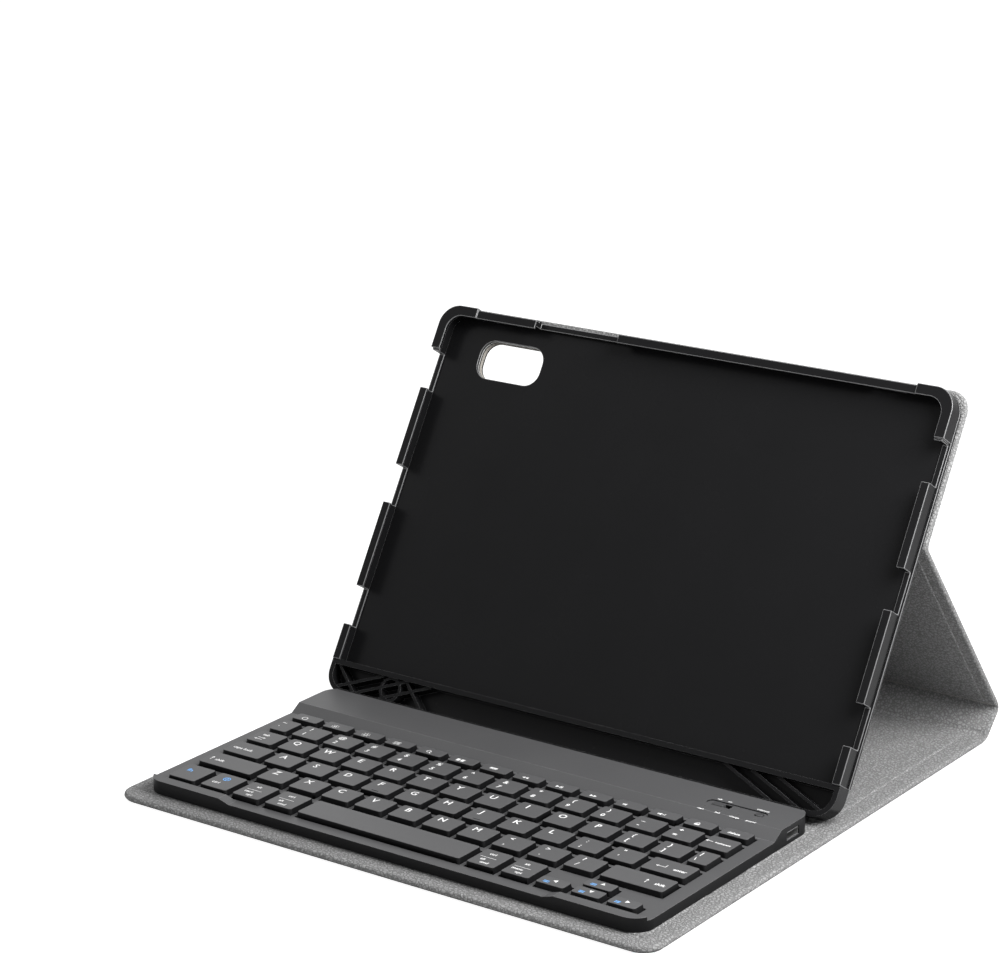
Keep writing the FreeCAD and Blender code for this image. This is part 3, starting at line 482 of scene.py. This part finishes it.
print("sheet edges in mm:", EDGE_ROUNDS)

# %% Where the panels lie
SPINE_TILT = 45
LEG_LEAN = 128.7
TRAY_LEAN = 59
# Y and Z of the line that each panel starts from
FRONT_LINE = (-95, 0)
SPINE_LINE = (95, 0)
LEG_LINE = (107.7279, 12.7279)
UPPER_LINE = (30.0427, 104.257)
WRAP_LINE = (-113, 0)
# Distance of the raised field from the panel's sides
FIELD_INSET = 8.5
LEG_FIELD_INSET = 5.5


def panel_frame(y, z, angle):
    """A panel's frame: its Y runs along the panel and its Z towards the lining."""
    return Matrix.Translation((0, y, z)) @ Matrix.Rotation(math.radians(angle), 4, "X")


lean = math.radians(TRAY_LEAN)
upper_y = UPPER_LINE[0] + PANEL_THICK * math.sin(lean)
upper_z = UPPER_LINE[1] - PANEL_THICK * math.cos(lean)
about_face = Matrix.Rotation(math.pi, 4, "Z")

# Name: frame, start and end along the panel, whether its far end is free, and the field's inset if any
PANELS = {
    "front": (panel_frame(*FRONT_LINE, 0), 4, 186, False, FIELD_INSET),
    "spine": (panel_frame(*SPINE_LINE, SPINE_TILT), 4, 13, False, 0),
    "leg": (panel_frame(*LEG_LINE, LEG_LEAN), 5, 116.006, False, LEG_FIELD_INSET),
    "upper": (panel_frame(upper_y, upper_z, TRAY_LEAN), 4, 69, True, FIELD_INSET),
    "wrap": (panel_frame(*WRAP_LINE, 0), 4, 14, False, 0),
    "flap": (panel_frame(*WRAP_LINE, 0) @ about_face, 4, 60, True, FIELD_INSET),
}
SOFT_CORES = {"spine": "spine_board", "wrap": "wrap_padding"}
LAYERS = {"skin": black_leatherette, "lining": grey_lining}
panel_pieces = {}
for body, (place, start, end, free_end, field_inset) in PANELS.items():
    for layer, material in LAYERS.items():
        bm = half_panel(layer, start, end, free_end, field_inset, body not in SOFT_CORES)
        bmesh.ops.transform(bm, matrix=place, verts=bm.verts)
        sheet = finished("%s_%s_sheet" % (body, layer), bm, [material])
        panel_pieces[body, layer] = sheet
        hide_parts("%s_%s" % (body, layer))
for body, core in SOFT_CORES.items():
    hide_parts(core)
print("panel sheets:", len(panel_pieces))

# %% [markdown]
# ## Camera window
# A rounded window for a camera goes through the tray and the upper panel. Insetting can't go through a
# solid, so a rounded block is taken away with a Boolean modifier, and the result is kept as the sheet's
# mesh.

# %% Camera window in the upper panel
WINDOW_MIDDLE = (-92, 46.3)
WINDOW_HALF = (17, 9)
WINDOW_CORNER = 7
WINDOW_STEPS = 6

cutter_bm = bmesh.new()
low_corner = (-WINDOW_HALF[0], -WINDOW_HALF[1], -PANEL_THICK)
block(cutter_bm, low_corner, (*WINDOW_HALF, 2 * PANEL_THICK))
round_edges(cutter_bm, [edge for edge in cutter_bm.edges if upright(edge)], WINDOW_CORNER, WINDOW_STEPS)
bmesh.ops.translate(cutter_bm, vec=(*WINDOW_MIDDLE, 0), verts=cutter_bm.verts)
bmesh.ops.transform(cutter_bm, matrix=PANELS["upper"][0], verts=cutter_bm.verts)
cutter = finished("window_cutter", cutter_bm, [], even=False)
for layer in LAYERS:
    sheet = panel_pieces["upper", layer]
    opening = sheet.modifiers.new("camera_window", "BOOLEAN")
    opening.object = cutter
    opening.operation = "DIFFERENCE"
    graph = bpy.context.evaluated_depsgraph_get()
    bored = bpy.data.meshes.new_from_object(sheet.evaluated_get(graph))
    sheet.modifiers.remove(opening)
    sheet.data = bored
bpy.data.objects.remove(cutter)
for (body, layer), sheet in panel_pieces.items():
    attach(sheet, body)
print("window corners in mm:", WINDOW_CORNER)

# %% [markdown]
# ## Folds
# Between two panels there is no board: skin and lining are pressed together and bend. A strip of faces
# could be bent with a lattice, but turning the panel's own end outline about the bend's axis gives a
# smooth arc that meets both panels. The fold below the leg is wider than the others, and a lining on the
# hollow side is pressed thinner in its middle, where it would crease.

# %% Fold strips
FOLD_HALF = 4
WIDE_FOLD_HALF = 5
FOLD_THINNING = 0.4
FOLD_STEPS = 10


def fold_half(layer, start, bend, axis_height):
    """The skin or the lining of a fold, in the frame of the panel that it leaves."""
    low, high = LEVELS[layer]
    half = COVER_HALF - DRAW_IN[layer]
    bm = bmesh.new()
    bmesh.ops.create_grid(bm, x_segments=1, y_segments=1, size=1)
    bmesh.ops.scale(bm, vec=(half, (high - low) / 2, 1), verts=bm.verts)
    bmesh.ops.rotate(bm, cent=(0, 0, 0), matrix=Matrix.Rotation(math.pi / 2, 3, "X"), verts=bm.verts)
    bmesh.ops.translate(bm, vec=(0, start, (low + high) / 2), verts=bm.verts)
    for level, radius in EDGE_ROUNDS[layer].items():
        corners = [vert for vert in bm.verts if near(vert.co.z, level)]
        round_edges(bm, corners, radius, EDGE_STEPS, "VERTICES")
    bmesh.ops.delete(bm, geom=bm.faces[:], context="FACES_ONLY")
    step = (0, 0, 0) if bend else (0, 2 * FOLD_HALF / FOLD_STEPS, 0)
    bmesh.ops.spin(
        bm, geom=bm.verts[:] + bm.edges[:], cent=(0, start, axis_height), axis=(1, 0, 0), dvec=step,
        angle=bend, steps=FOLD_STEPS, use_merge=False, use_duplicate=False,
    )
    bmesh.ops.holes_fill(bm, edges=[edge for edge in bm.edges if edge.is_boundary], sides=0)
    bmesh.ops.recalc_face_normals(bm, faces=bm.faces)
    return bm


def thin_middle(bm, low, start, bend, axis_height):
    """Press a lining on the hollow side of a fold thinner towards its middle."""
    for vert in bm.verts:
        ahead = vert.co.y - start
        below = axis_height - vert.co.z
        turn = math.atan2(ahead, below)
        level = axis_height - math.hypot(ahead, below)
        kept = 1 - FOLD_THINNING * math.sin(math.pi * turn / bend)
        reach = axis_height - low - (level - low) * kept
        vert.co.y = start + reach * math.sin(turn)
        vert.co.z = axis_height - reach * math.cos(turn)


# Name: the two bodies, bend in degrees, the lining's side, which is 1 where it is hollow and -1 where it is
# stretched, and half the fold's run
FOLDS = {
    "spine": ("front", "spine", SPINE_TILT, 1, FOLD_HALF),
    "leg": ("spine", "leg", LEG_LEAN - SPINE_TILT, 1, WIDE_FOLD_HALF),
    "upper": ("leg", "upper", LEG_LEAN - TRAY_LEAN, -1, FOLD_HALF),
    "wrap": ("wrap", "front", 0, 1, FOLD_HALF),
    "flap": ("flap", "wrap", 0, 1, FOLD_HALF),
}
for name, (first, second, degrees, hollow, half_run) in FOLDS.items():
    bend = math.radians(degrees) * hollow
    place, _, end = PANELS[first][:3]
    if name == "flap":
        # The flap's own frame is turned about, so its fold is laid out in the wrap strip's frame
        place = PANELS["wrap"][0]
        end = -FOLD_HALF
    axis_height = 0
    along = Matrix.Translation((0, 2 * FOLD_HALF, 0))
    if bend:
        radius = half_run / math.tan(abs(bend) / 2)
        axis_height = radius if hollow > 0 else PANEL_THICK - radius
        pivot = Matrix.Translation((0, end, axis_height))
        along = pivot @ Matrix.Rotation(bend, 4, "X") @ pivot.inverted()
    for layer, material in LAYERS.items():
        bm = fold_half(layer, end, bend, axis_height)
        if layer == "lining" and bend > 0:
            thin_middle(bm, LEVELS[layer][0], end, bend, axis_height)
        bmesh.ops.transform(bm, matrix=place, verts=bm.verts)
        strip = finished("%s_fold_%s" % (name, layer), bm, [material], even=False)
        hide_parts(name + "_fold_strip")
        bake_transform(strip)
print("fold strips:", 2 * len(FOLDS))

# %% [markdown]
# ## Tray and its trough
# The tray is one soft moulding in life: a back, a rim with corner bumpers, and a trough with slanting
# ribs along its lower edge. Its solids have the right shapes but knife edges, and a real moulding never
# has those. A copy of each solid is merged, its flat faces are joined again, and every sharp edge gets a
# small radius in a lighter finish, a painted highlight that draws a line of light along it.

# %% Soften a solid
SOFT_STEPS = 2


def merged_copy(node):
    """A solid's mesh in millimetres, with its triangles joined into flat faces."""
    bm = bmesh.new()
    bm.from_mesh(frame["nodes"][node].data)
    bmesh.ops.scale(bm, vec=(1 / MM, 1 / MM, 1 / MM), verts=bm.verts)
    bmesh.ops.remove_doubles(bm, verts=bm.verts, dist=TOLERANCE)
    bmesh.ops.dissolve_limit(
        bm, angle_limit=math.radians(1), use_dissolve_boundaries=False, verts=bm.verts, edges=bm.edges,
        delimit=set(),
    )
    return bm


def sharp_edges(bm, pick=lambda point: True, crease=30):
    limit = math.radians(crease)
    return [
        edge for edge in bm.edges
        if edge.is_manifold and edge.calc_face_angle() > limit and pick(middle(edge))
    ]


HIGHLIGHT_FACE = 1
SOFT_EDGES = {"tray_back": 0.3, "tray_rim": 0.4, "pen_holder": 0.35}
for node, radius in SOFT_EDGES.items():
    bm = merged_copy(node)
    edges = sharp_edges(bm)
    # The rounded faces take the lighter finish, a painted highlight
    for face in round_edges(bm, edges, radius, SOFT_STEPS):
        face.material_index = HIGHLIGHT_FACE
    moulding = finished(node + "_moulding", bm, [tray_moulding, tray_edge_painted_highlight], smooth=40)
    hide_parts(node)
    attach(moulding, "upper")
    print(node, "rounded edges:", len(edges))

# %% [markdown]
# ## Keyboard case
# The keyboard is a flat grey moulding with a raised bar behind the keys and raised strips at its front
# corners. Its sides take a near-black painted shade and its rounded top edges a lighter painted highlight.
# Only the edges that a finger can reach are rounded: the holes under the keys stay sharp, because nobody
# sees them and hundreds of tiny bevels would cost a great many faces.

# %% Keyboard top
KEYBOARD_FRONT = -164.8716
KEYBOARD_BOTTOM = 3.4
DECK_TOP = KEYBOARD_BOTTOM + 4.4
DECK_BAND = 0.02
# Middle of the recess for the controls, then the reach of the key holes and of that recess
RECESS = (96.6, KEYBOARD_FRONT + 110.2)
KEYS_HALF = 118
KEYS_DEPTH = (5.5, 95.5)
CONTROLS_HALF = 17
CONTROLS_DEPTH = (101.6, 114.5)
CASE_ROUND = 0.35
CASE_CREASE = 12
# Slots: the moulding's top, its sides in painted shade, and its rounded top edges in painted highlight
TOP_FACE, SHADED_SIDE_FACE, HIGHLIGHT_LINE_FACE = 0, 1, 2
CASE_UPWARD = 0.35


def reachable(point):
    """Whether an edge is on the outside of the keyboard, away from the key holes and the controls."""
    depth = point.y - KEYBOARD_FRONT
    across = abs(point.x - RECESS[0])
    in_keys = abs(point.x) < KEYS_HALF and KEYS_DEPTH[0] < depth < KEYS_DEPTH[1]
    at_controls = across < CONTROLS_HALF and CONTROLS_DEPTH[0] < depth < CONTROLS_DEPTH[1]
    return point.z > DECK_TOP - DECK_BAND and not in_keys and not at_controls


case_bm = merged_copy("keyboard_top")
case_edges = sharp_edges(case_bm, reachable, CASE_CREASE)
rounded = set(round_edges(case_bm, case_edges, CASE_ROUND, SOFT_STEPS))
# Faces that don't look up take the painted shade, and rounded faces on top the painted highlight
for face in case_bm.faces:
    if face.normal.z <= CASE_UPWARD:
        face.material_index = SHADED_SIDE_FACE
    elif face in rounded:
        face.material_index = HIGHLIGHT_LINE_FACE
    else:
        face.material_index = TOP_FACE
case_piece = finished("keyboard_case", case_bm, [case_moulding, case_side_painted_shade, case_edge_painted_highlight], smooth=40)
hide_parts("keyboard_top")
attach(case_piece, "keyboard")
print("keyboard edges rounded:", len(case_edges))

# %% [markdown]
# ## Key caps
# Each cap is shallow, with a flat top and flanks in a black painted shade. The caps of a row are one
# solid in the model because they are all alike, so they are softened together: only the edges round the
# tops get a radius, faces that look up take the lighter finish, and the others take the painted shade.

# %% Key caps
KEY_TOP = KEYBOARD_BOTTOM + 6.7
CAP_BAND = 0.05
CAP_ROUND = 0.28
CAP_UPWARD = 0.6
KEY_ROWS = [
    "function_keys", "number_keys", "upper_letter_keys", "home_letter_keys", "lower_letter_keys",
    "left_modifier_keys", "right_modifier_keys", "backspace_key", "tab_key", "caps_key", "enter_key",
    "left_shift_key", "right_shift_key", "space_key", "left_arrow_key", "up_arrow_key", "down_arrow_key",
    "right_arrow_key",
]
for row in KEY_ROWS:
    bm = merged_copy(row)
    round_edges(bm, sharp_edges(bm, lambda point: point.z > KEY_TOP - CAP_BAND), CAP_ROUND, SOFT_STEPS)
    # Faces that look up keep the cap finish and the flanks take the painted shade
    for face in bm.faces:
        face.material_index = TOP_FACE if face.normal.z > CAP_UPWARD else SHADED_SIDE_FACE
    caps = finished(row + "_caps", bm, [key_top, key_side_painted_shade], smooth=50)
    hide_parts(row)
    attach(caps, row)
print("key groups:", len(KEY_ROWS))

# %% Small controls
CONTROL_ROUNDS = {"power_knob": 0.3, "connect_button": 0.25}
for node, radius in CONTROL_ROUNDS.items():
    bm = merged_copy(node)
    round_edges(bm, sharp_edges(bm), radius, SOFT_STEPS)
    control = finished(node + "_cap", bm, [control_plastic], smooth=40)
    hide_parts(node)
    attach(control, node)
print("controls:", len(CONTROL_ROUNDS))

# %% [markdown]
# ## Printed signs
# Letters are printed on the caps in white, a little behind and left of the middle. An image could carry
# them all, but thin solid letters stay sharp at any distance and move with their keys. Text becomes a
# mesh first, then goes to its place; bars, rings and triangles make the other signs.

# %% Ink helpers
INK = 0.03
INK_SINK = 0.01
INK_LEVEL = KEY_TOP + INK / 2 - INK_SINK
WHITE, BLUE = 0, 1
LETTER_SWELL = 0.016
RING_STEPS = 24


def coloured(bm, before, ink):
    """Give the faces that weren't there before their ink."""
    for face in bm.faces:
        if face not in before:
            face.material_index = ink


def print_words(bm, words, x, y, size, ink=WHITE, align="CENTER", level=INK_LEVEL):
    before = set(bm.faces)
    text = bpy.data.curves.new("sign", "FONT")
    text.body = words
    text.size = size
    text.align_x = align
    text.align_y = "CENTER"
    text.extrude = INK / 2
    text.offset = LETTER_SWELL * size
    text.resolution_u = 2
    holder = bpy.data.objects.new("sign", text)
    letters = bpy.data.meshes.new_from_object(holder)
    letters.transform(Matrix.Translation((x, y, level)))
    bm.from_mesh(letters)
    bpy.data.meshes.remove(letters)
    bpy.data.objects.remove(holder)
    bpy.data.curves.remove(text)
    coloured(bm, before, ink)


def print_bar(bm, x, y, length, width, ink=WHITE, turn=0):
    before = set(bm.faces)
    made = block(bm, (-length / 2, -width / 2, -INK / 2), (length / 2, width / 2, INK / 2))
    bmesh.ops.rotate(bm, cent=(0, 0, 0), matrix=Matrix.Rotation(turn, 3, "Z"), verts=made)
    bmesh.ops.translate(bm, vec=(x, y, INK_LEVEL), verts=made)
    coloured(bm, before, ink)


def print_triangle(bm, x, y, radius, turn):
    """A white triangle whose point is along turn."""
    before = set(bm.faces)
    place = Matrix.Translation((x, y, INK_LEVEL)) @ Matrix.Rotation(turn - math.pi / 2, 4, "Z")
    bmesh.ops.create_cone(
        bm, cap_ends=True, segments=3, radius1=radius, radius2=radius, depth=INK, matrix=place
    )
    coloured(bm, before, WHITE)


def print_ring(bm, x, y, radius, line, ink=WHITE):
    before = set(bm.faces)
    made = bmesh.ops.create_grid(bm, x_segments=1, y_segments=1, size=0.5)["verts"]
    bmesh.ops.scale(bm, vec=(line, INK, 1), verts=made)
    bmesh.ops.rotate(bm, cent=(0, 0, 0), matrix=Matrix.Rotation(math.pi / 2, 3, "X"), verts=made)
    bmesh.ops.translate(bm, vec=(x + radius - line / 2, y, INK_LEVEL), verts=made)
    outline = list(dict.fromkeys(edge for vert in made for edge in vert.link_edges))
    bmesh.ops.delete(bm, geom=made[0].link_faces[:], context="FACES_ONLY")
    bmesh.ops.spin(
        bm, geom=made + outline, cent=(x, y, INK_LEVEL), axis=(0, 0, 1), angle=2 * math.pi,
        steps=RING_STEPS, use_merge=True, use_duplicate=False,
    )
    bmesh.ops.recalc_face_normals(bm, faces=[face for face in bm.faces if face not in before])
    coloured(bm, before, ink)


print("ink thickness in mm:", INK)

# %% Where the caps are


def cap_boxes(row):
    """The outline of each cap in a row: its left, right, front and back, from the left."""
    bm = merged_copy(row)
    boxes = []
    waiting = set(bm.verts)
    while waiting:
        island = []
        queue = [waiting.pop()]
        while queue:
            vert = queue.pop()
            island.append(vert.co.copy())
            for edge in vert.link_edges:
                other = edge.other_vert(vert)
                if other in waiting:
                    waiting.remove(other)
                    queue.append(other)
        xs = [point.x for point in island]
        ys = [point.y for point in island]
        boxes.append((min(xs), max(xs), min(ys), max(ys)))
    bm.free()
    return sorted(boxes)


def cap_middle(box):
    return (box[0] + box[1]) / 2, (box[2] + box[3]) / 2


cap_places = {row: cap_boxes(row) for row in KEY_ROWS}
sign_meshes = {row: bmesh.new() for row in KEY_ROWS}
print("caps:", sum(len(boxes) for boxes in cap_places.values()))

# %% Letters, digits and their second signs
LETTER = 4.7
LETTER_SHIFT = (-2.2, 2.2)
SECOND = 3.7
SECOND_SHIFTS = ((-2.5, 2.8), (-2.5, -2.5))
SIGNS = {
    "number_keys": ["~`", "!1", "@2", "#3", "$4", "%5", "^6", "&7", "*8", "(9", ")0", "_-", "+="],
    "upper_letter_keys": list("QWERTYUIOP") + ["{[", "}]", "|\\"],
    "home_letter_keys": list("ASDFGHJKL") + [":;", "\"'"],
    "lower_letter_keys": list("ZXCVBNM") + ["<,", ">.", "?/"],
}
for row, signs in SIGNS.items():
    for box, sign in zip(cap_places[row], signs):
        x, y = cap_middle(box)
        size = LETTER if len(sign) == 1 else SECOND
        shifts = [LETTER_SHIFT] if len(sign) == 1 else SECOND_SHIFTS
        for letter, (across, along) in zip(sign, shifts):
            print_words(sign_meshes[row], letter, x + across, y + along, size)
print("signed caps:", sum(len(signs) for signs in SIGNS.values()))

# %% Word keys
WORD = 2.7
LONG_WORD = 1.75
SHAFT = 0.3
ARROW_HEAD = 0.8
ALIGNMENT = {"left": "LEFT", "middle": "CENTER", "right": "RIGHT"}
# Row, the side of the cap that the sign is set from, distance across and along, words and their size
WORDS = [
    ("tab_key", "middle", -2.0, 2.2, "tab", WORD),
    ("caps_key", "left", 2.2, -0.4, "caps lock", WORD),
    ("left_shift_key", "left", 5.4, -0.8, "shift", WORD),
    ("right_shift_key", "right", -2.6, -0.8, "shift", WORD),
    ("enter_key", "right", -2.6, -0.8, "enter", WORD),
    ("backspace_key", "middle", 1.4, 0.2, "backspace", LONG_WORD),
]
# Row, side and distances as above, then the arrow's turn in degrees and its length
ARROWS = [
    ("tab_key", "middle", -2.2, -1.2, 0, 3.2),
    ("tab_key", "middle", -2.2, -3.0, 180, 3.2),
    ("left_shift_key", "left", 3.2, -0.6, 90, 2.6),
    ("right_shift_key", "right", -11.2, -0.6, 90, 2.6),
    ("enter_key", "right", -14.0, -0.8, 180, 3.6),
    ("backspace_key", "middle", -4.6, 0.3, 180, 2.6),
]
ENTER_HOOK = (-12.2, 0.1)
ENTER_HOOK_RISE = 2.1


def on_cap(row, side, across, along):
    """A point on a single cap, set from its left, its middle or its right."""
    box = cap_places[row][0]
    x, y = cap_middle(box)
    edge = {"left": box[0], "middle": x, "right": box[1]}[side]
    return edge + across, y + along


def print_arrow(bm, x, y, turn, length):
    """A shaft with a pointed head, its tip along turn."""
    print_bar(bm, x, y, length, SHAFT, WHITE, turn)
    tip_x = x + math.cos(turn) * length / 2
    tip_y = y + math.sin(turn) * length / 2
    print_triangle(bm, tip_x, tip_y, ARROW_HEAD, turn)


for row, side, across, along, words, size in WORDS:
    print_words(sign_meshes[row], words, *on_cap(row, side, across, along), size, align=ALIGNMENT[side])
for row, side, across, along, degrees, length in ARROWS:
    print_arrow(sign_meshes[row], *on_cap(row, side, across, along), math.radians(degrees), length)
print_bar(sign_meshes["enter_key"], *on_cap("enter_key", "right", *ENTER_HOOK), SHAFT, ENTER_HOOK_RISE)
print("word keys:", len(WORDS))

# %% Modifier and arrow keys
SMALL = 2.3
GLOBE_SHIFT = (-0.6, 2.6)
GLOBE_RADIUS = 1.7
GLOBE_LINE = 0.4
GLOBE_CROSS = 3.0
POINTER = 1.2
DASH = (2.4, 0.45)
# Row: the words of each cap, above the line, below it, and below that at the right
MODIFIERS = {
    "left_modifier_keys": [
        ("fn", "", ""), ("ctrl", "", ""), ("alt", "start", "opt"), ("ctrl", "alt", "cmd"),
    ],
    "right_modifier_keys": [("ctrl", "alt", "cmd"), ("alt", "menu", "opt")],
}
for row, cap_words in MODIFIERS.items():
    bm = sign_meshes[row]
    for box, (above, below, lowest) in zip(cap_places[row], cap_words):
        x, y = cap_middle(box)
        if above == "fn":
            print_words(bm, above, x - 2.4, y + 1.6, SECOND, BLUE)
        elif not lowest:
            print_words(bm, above, x - 2.4, y - 2.2, WORD)
        else:
            print_words(bm, above, x - 1.0, y + 3.6, SMALL)
            print_bar(bm, x - 1.0, y + 0.1, 7.5, 0.2)
            print_words(bm, below, x - 2.0, y - 2.0, SMALL)
            print_words(bm, lowest, x + 0.4, y - 4.8, SMALL)
bm = sign_meshes["left_modifier_keys"]
x, y = cap_middle(cap_places["left_modifier_keys"][1])
globe = (x + GLOBE_SHIFT[0], y + GLOBE_SHIFT[1])
print_ring(bm, *globe, GLOBE_RADIUS, GLOBE_LINE, BLUE)
print_bar(bm, *globe, GLOBE_CROSS, GLOBE_LINE, BLUE)
print_bar(bm, *globe, GLOBE_LINE, GLOBE_CROSS, BLUE)
POINTERS = {"left_arrow_key": 180, "up_arrow_key": 90, "down_arrow_key": 270, "right_arrow_key": 0}
for row, degrees in POINTERS.items():
    print_triangle(sign_meshes[row], *on_cap(row, "middle", 0.6, 0.9), POINTER, math.radians(degrees))
    for drop in (0.6, 1.6):
        print_bar(sign_meshes[row], *on_cap(row, "middle", -2.6, -drop), *DASH, BLUE)
print("modifier rows:", len(MODIFIERS), "arrow keys:", len(POINTERS))

# %% Signs of the function keys
STROKE = 0.35
RING_LINE = 0.3
function_bm = sign_meshes["function_keys"]


def home_ring(x, y):
    print_ring(function_bm, x, y, 1.4, RING_LINE)


def sun(x, y, radius):
    print_ring(function_bm, x, y, radius, RING_LINE)
    reach = radius + 0.75
    for ray in range(8):
        turn = ray * math.pi / 4
        ray_x = x + reach * math.cos(turn)
        ray_y = y + reach * math.sin(turn)
        print_bar(function_bm, ray_x, ray_y, 0.7, 0.22, WHITE, turn)


def list_lines(x, y):
    for line in range(3):
        print_bar(function_bm, x, y - 1 + line, 3.4, STROKE)


def magnifier(x, y):
    print_ring(function_bm, x, y + 0.3, 1.1, RING_LINE)
    print_bar(function_bm, x + 1.2, y - 0.9, 1.4, STROKE, WHITE, -math.pi / 4)


def two_windows(x, y):
    for shift in (-1.1, 1.1):
        print_bar(function_bm, x + shift, y, 1.6, 2.2)


def screen_keys(x, y):
    print_bar(function_bm, x, y, 3.6, STROKE)
    print_bar(function_bm, x, y + 0.9, 3.6, 0.9)


def pair_of_triangles(x, y, turn):
    for shift in (-0.8, 0.8):
        print_triangle(function_bm, x + shift, y, 0.95, turn)


def play_and_pause(x, y):
    print_triangle(function_bm, x - 0.9, y, 1.1, 0)
    for shift in (0.7, 1.5):
        print_bar(function_bm, x + shift, y, 0.4, 1.8)


def speaker(x, y, waves):
    print_bar(function_bm, x - 1.6, y, 0.9, 1.1)
    print_triangle(function_bm, x - 0.8, y, 1.1, math.pi)
    for wave in range(waves):
        print_bar(function_bm, x + 0.6 + 0.8 * wave, y, 0.26, 1.1 + 0.6 * wave)


def padlock(x, y):
    print_bar(function_bm, x, y - 0.4, 2.2, 1.5)
    print_ring(function_bm, x, y + 0.6, 0.85, 0.28)


def delete_word(x, y):
    print_words(function_bm, "delete", x + 0.4, y, SMALL)


print("ring line in mm:", RING_LINE)

# %% Function keys
FUNCTION_SHIFT = (-1.2, -0.8)
FUNCTION_SIGNS = [
    (home_ring,), (sun, 0.7), (sun, 1.0), (list_lines,), (magnifier,), (two_windows,), (screen_keys,),
    (pair_of_triangles, math.pi), (play_and_pause,), (pair_of_triangles, 0), (speaker, 0), (speaker, 2),
    (padlock,), (delete_word,),
]
for box, (draw, *options) in zip(cap_places["function_keys"], FUNCTION_SIGNS):
    x, y = cap_middle(box)
    draw(x + FUNCTION_SHIFT[0], y + FUNCTION_SHIFT[1], *options)
print("function caps:", len(FUNCTION_SIGNS))

# %% Put the ink on the keys
signed_rows = [row for row, bm in sign_meshes.items() if len(bm.faces)]
for row in signed_rows:
    bm = sign_meshes[row]
    bmesh.ops.remove_doubles(bm, verts=bm.verts, dist=HAIR)
    signs = finished(row + "_signs", bm, [white_ink, blue_ink], even=False)
    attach(signs, row)
print("rows with signs:", len(signed_rows))

# %% [markdown]
# ## Marks that a finger feels, and the bar's labels
# Two caps carry a small raised bar so that the fingers find their home, and the bar behind the keys has
# tiny words next to its switch, its button and its lights. The raised bars are bevelled blocks and the
# words are printed as on the keys.

# %% Homing bars
HOMING_CAPS = (3, 6)
HOMING_HALF = 1.7
HOMING_DEPTH = (-4.9, -4.4)
HOMING_ROOT = 0.1
HOMING_RISE = 0.28
HOMING_ROUND = 0.12
bm = bmesh.new()
for index in HOMING_CAPS:
    x, y = cap_middle(cap_places["home_letter_keys"][index])
    low_corner = (x - HOMING_HALF, y + HOMING_DEPTH[0], KEY_TOP - HOMING_ROOT)
    block(bm, low_corner, (x + HOMING_HALF, y + HOMING_DEPTH[1], KEY_TOP + HOMING_RISE))
round_edges(bm, [edge for edge in bm.edges if middle(edge).z > KEY_TOP], HOMING_ROUND, SOFT_STEPS)
ridges = finished("homing_bars", bm, [key_top])
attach(ridges, "home_letter_keys")
print("homing bars:", len(HOMING_CAPS))

# %% Bar labels
BAR_TOP = KEYBOARD_BOTTOM + 7.8
LABEL = 1.75
label_level = BAR_TOP + INK / 2 - INK_SINK
# Words, and their distance across and along from the middle of the recess
LABELS = (
    ("off", -10.6, 4.0), ("on", -5.6, 4.0), ("connect", 10.0, 4.0),
    ("caps", -11.85, -8.6), ("link", -3.95, -8.6), ("charge", 3.95, -8.6), ("power", 11.85, -8.6),
)
bm = bmesh.new()
for words, across, along in LABELS:
    print_words(bm, words, RECESS[0] + across, RECESS[1] + along, LABEL, level=label_level)
bmesh.ops.remove_doubles(bm, verts=bm.verts, dist=HAIR)
labels = finished("bar_labels", bm, [white_ink, blue_ink], even=False)
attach(labels, "keyboard")
print("labels:", len(LABELS))
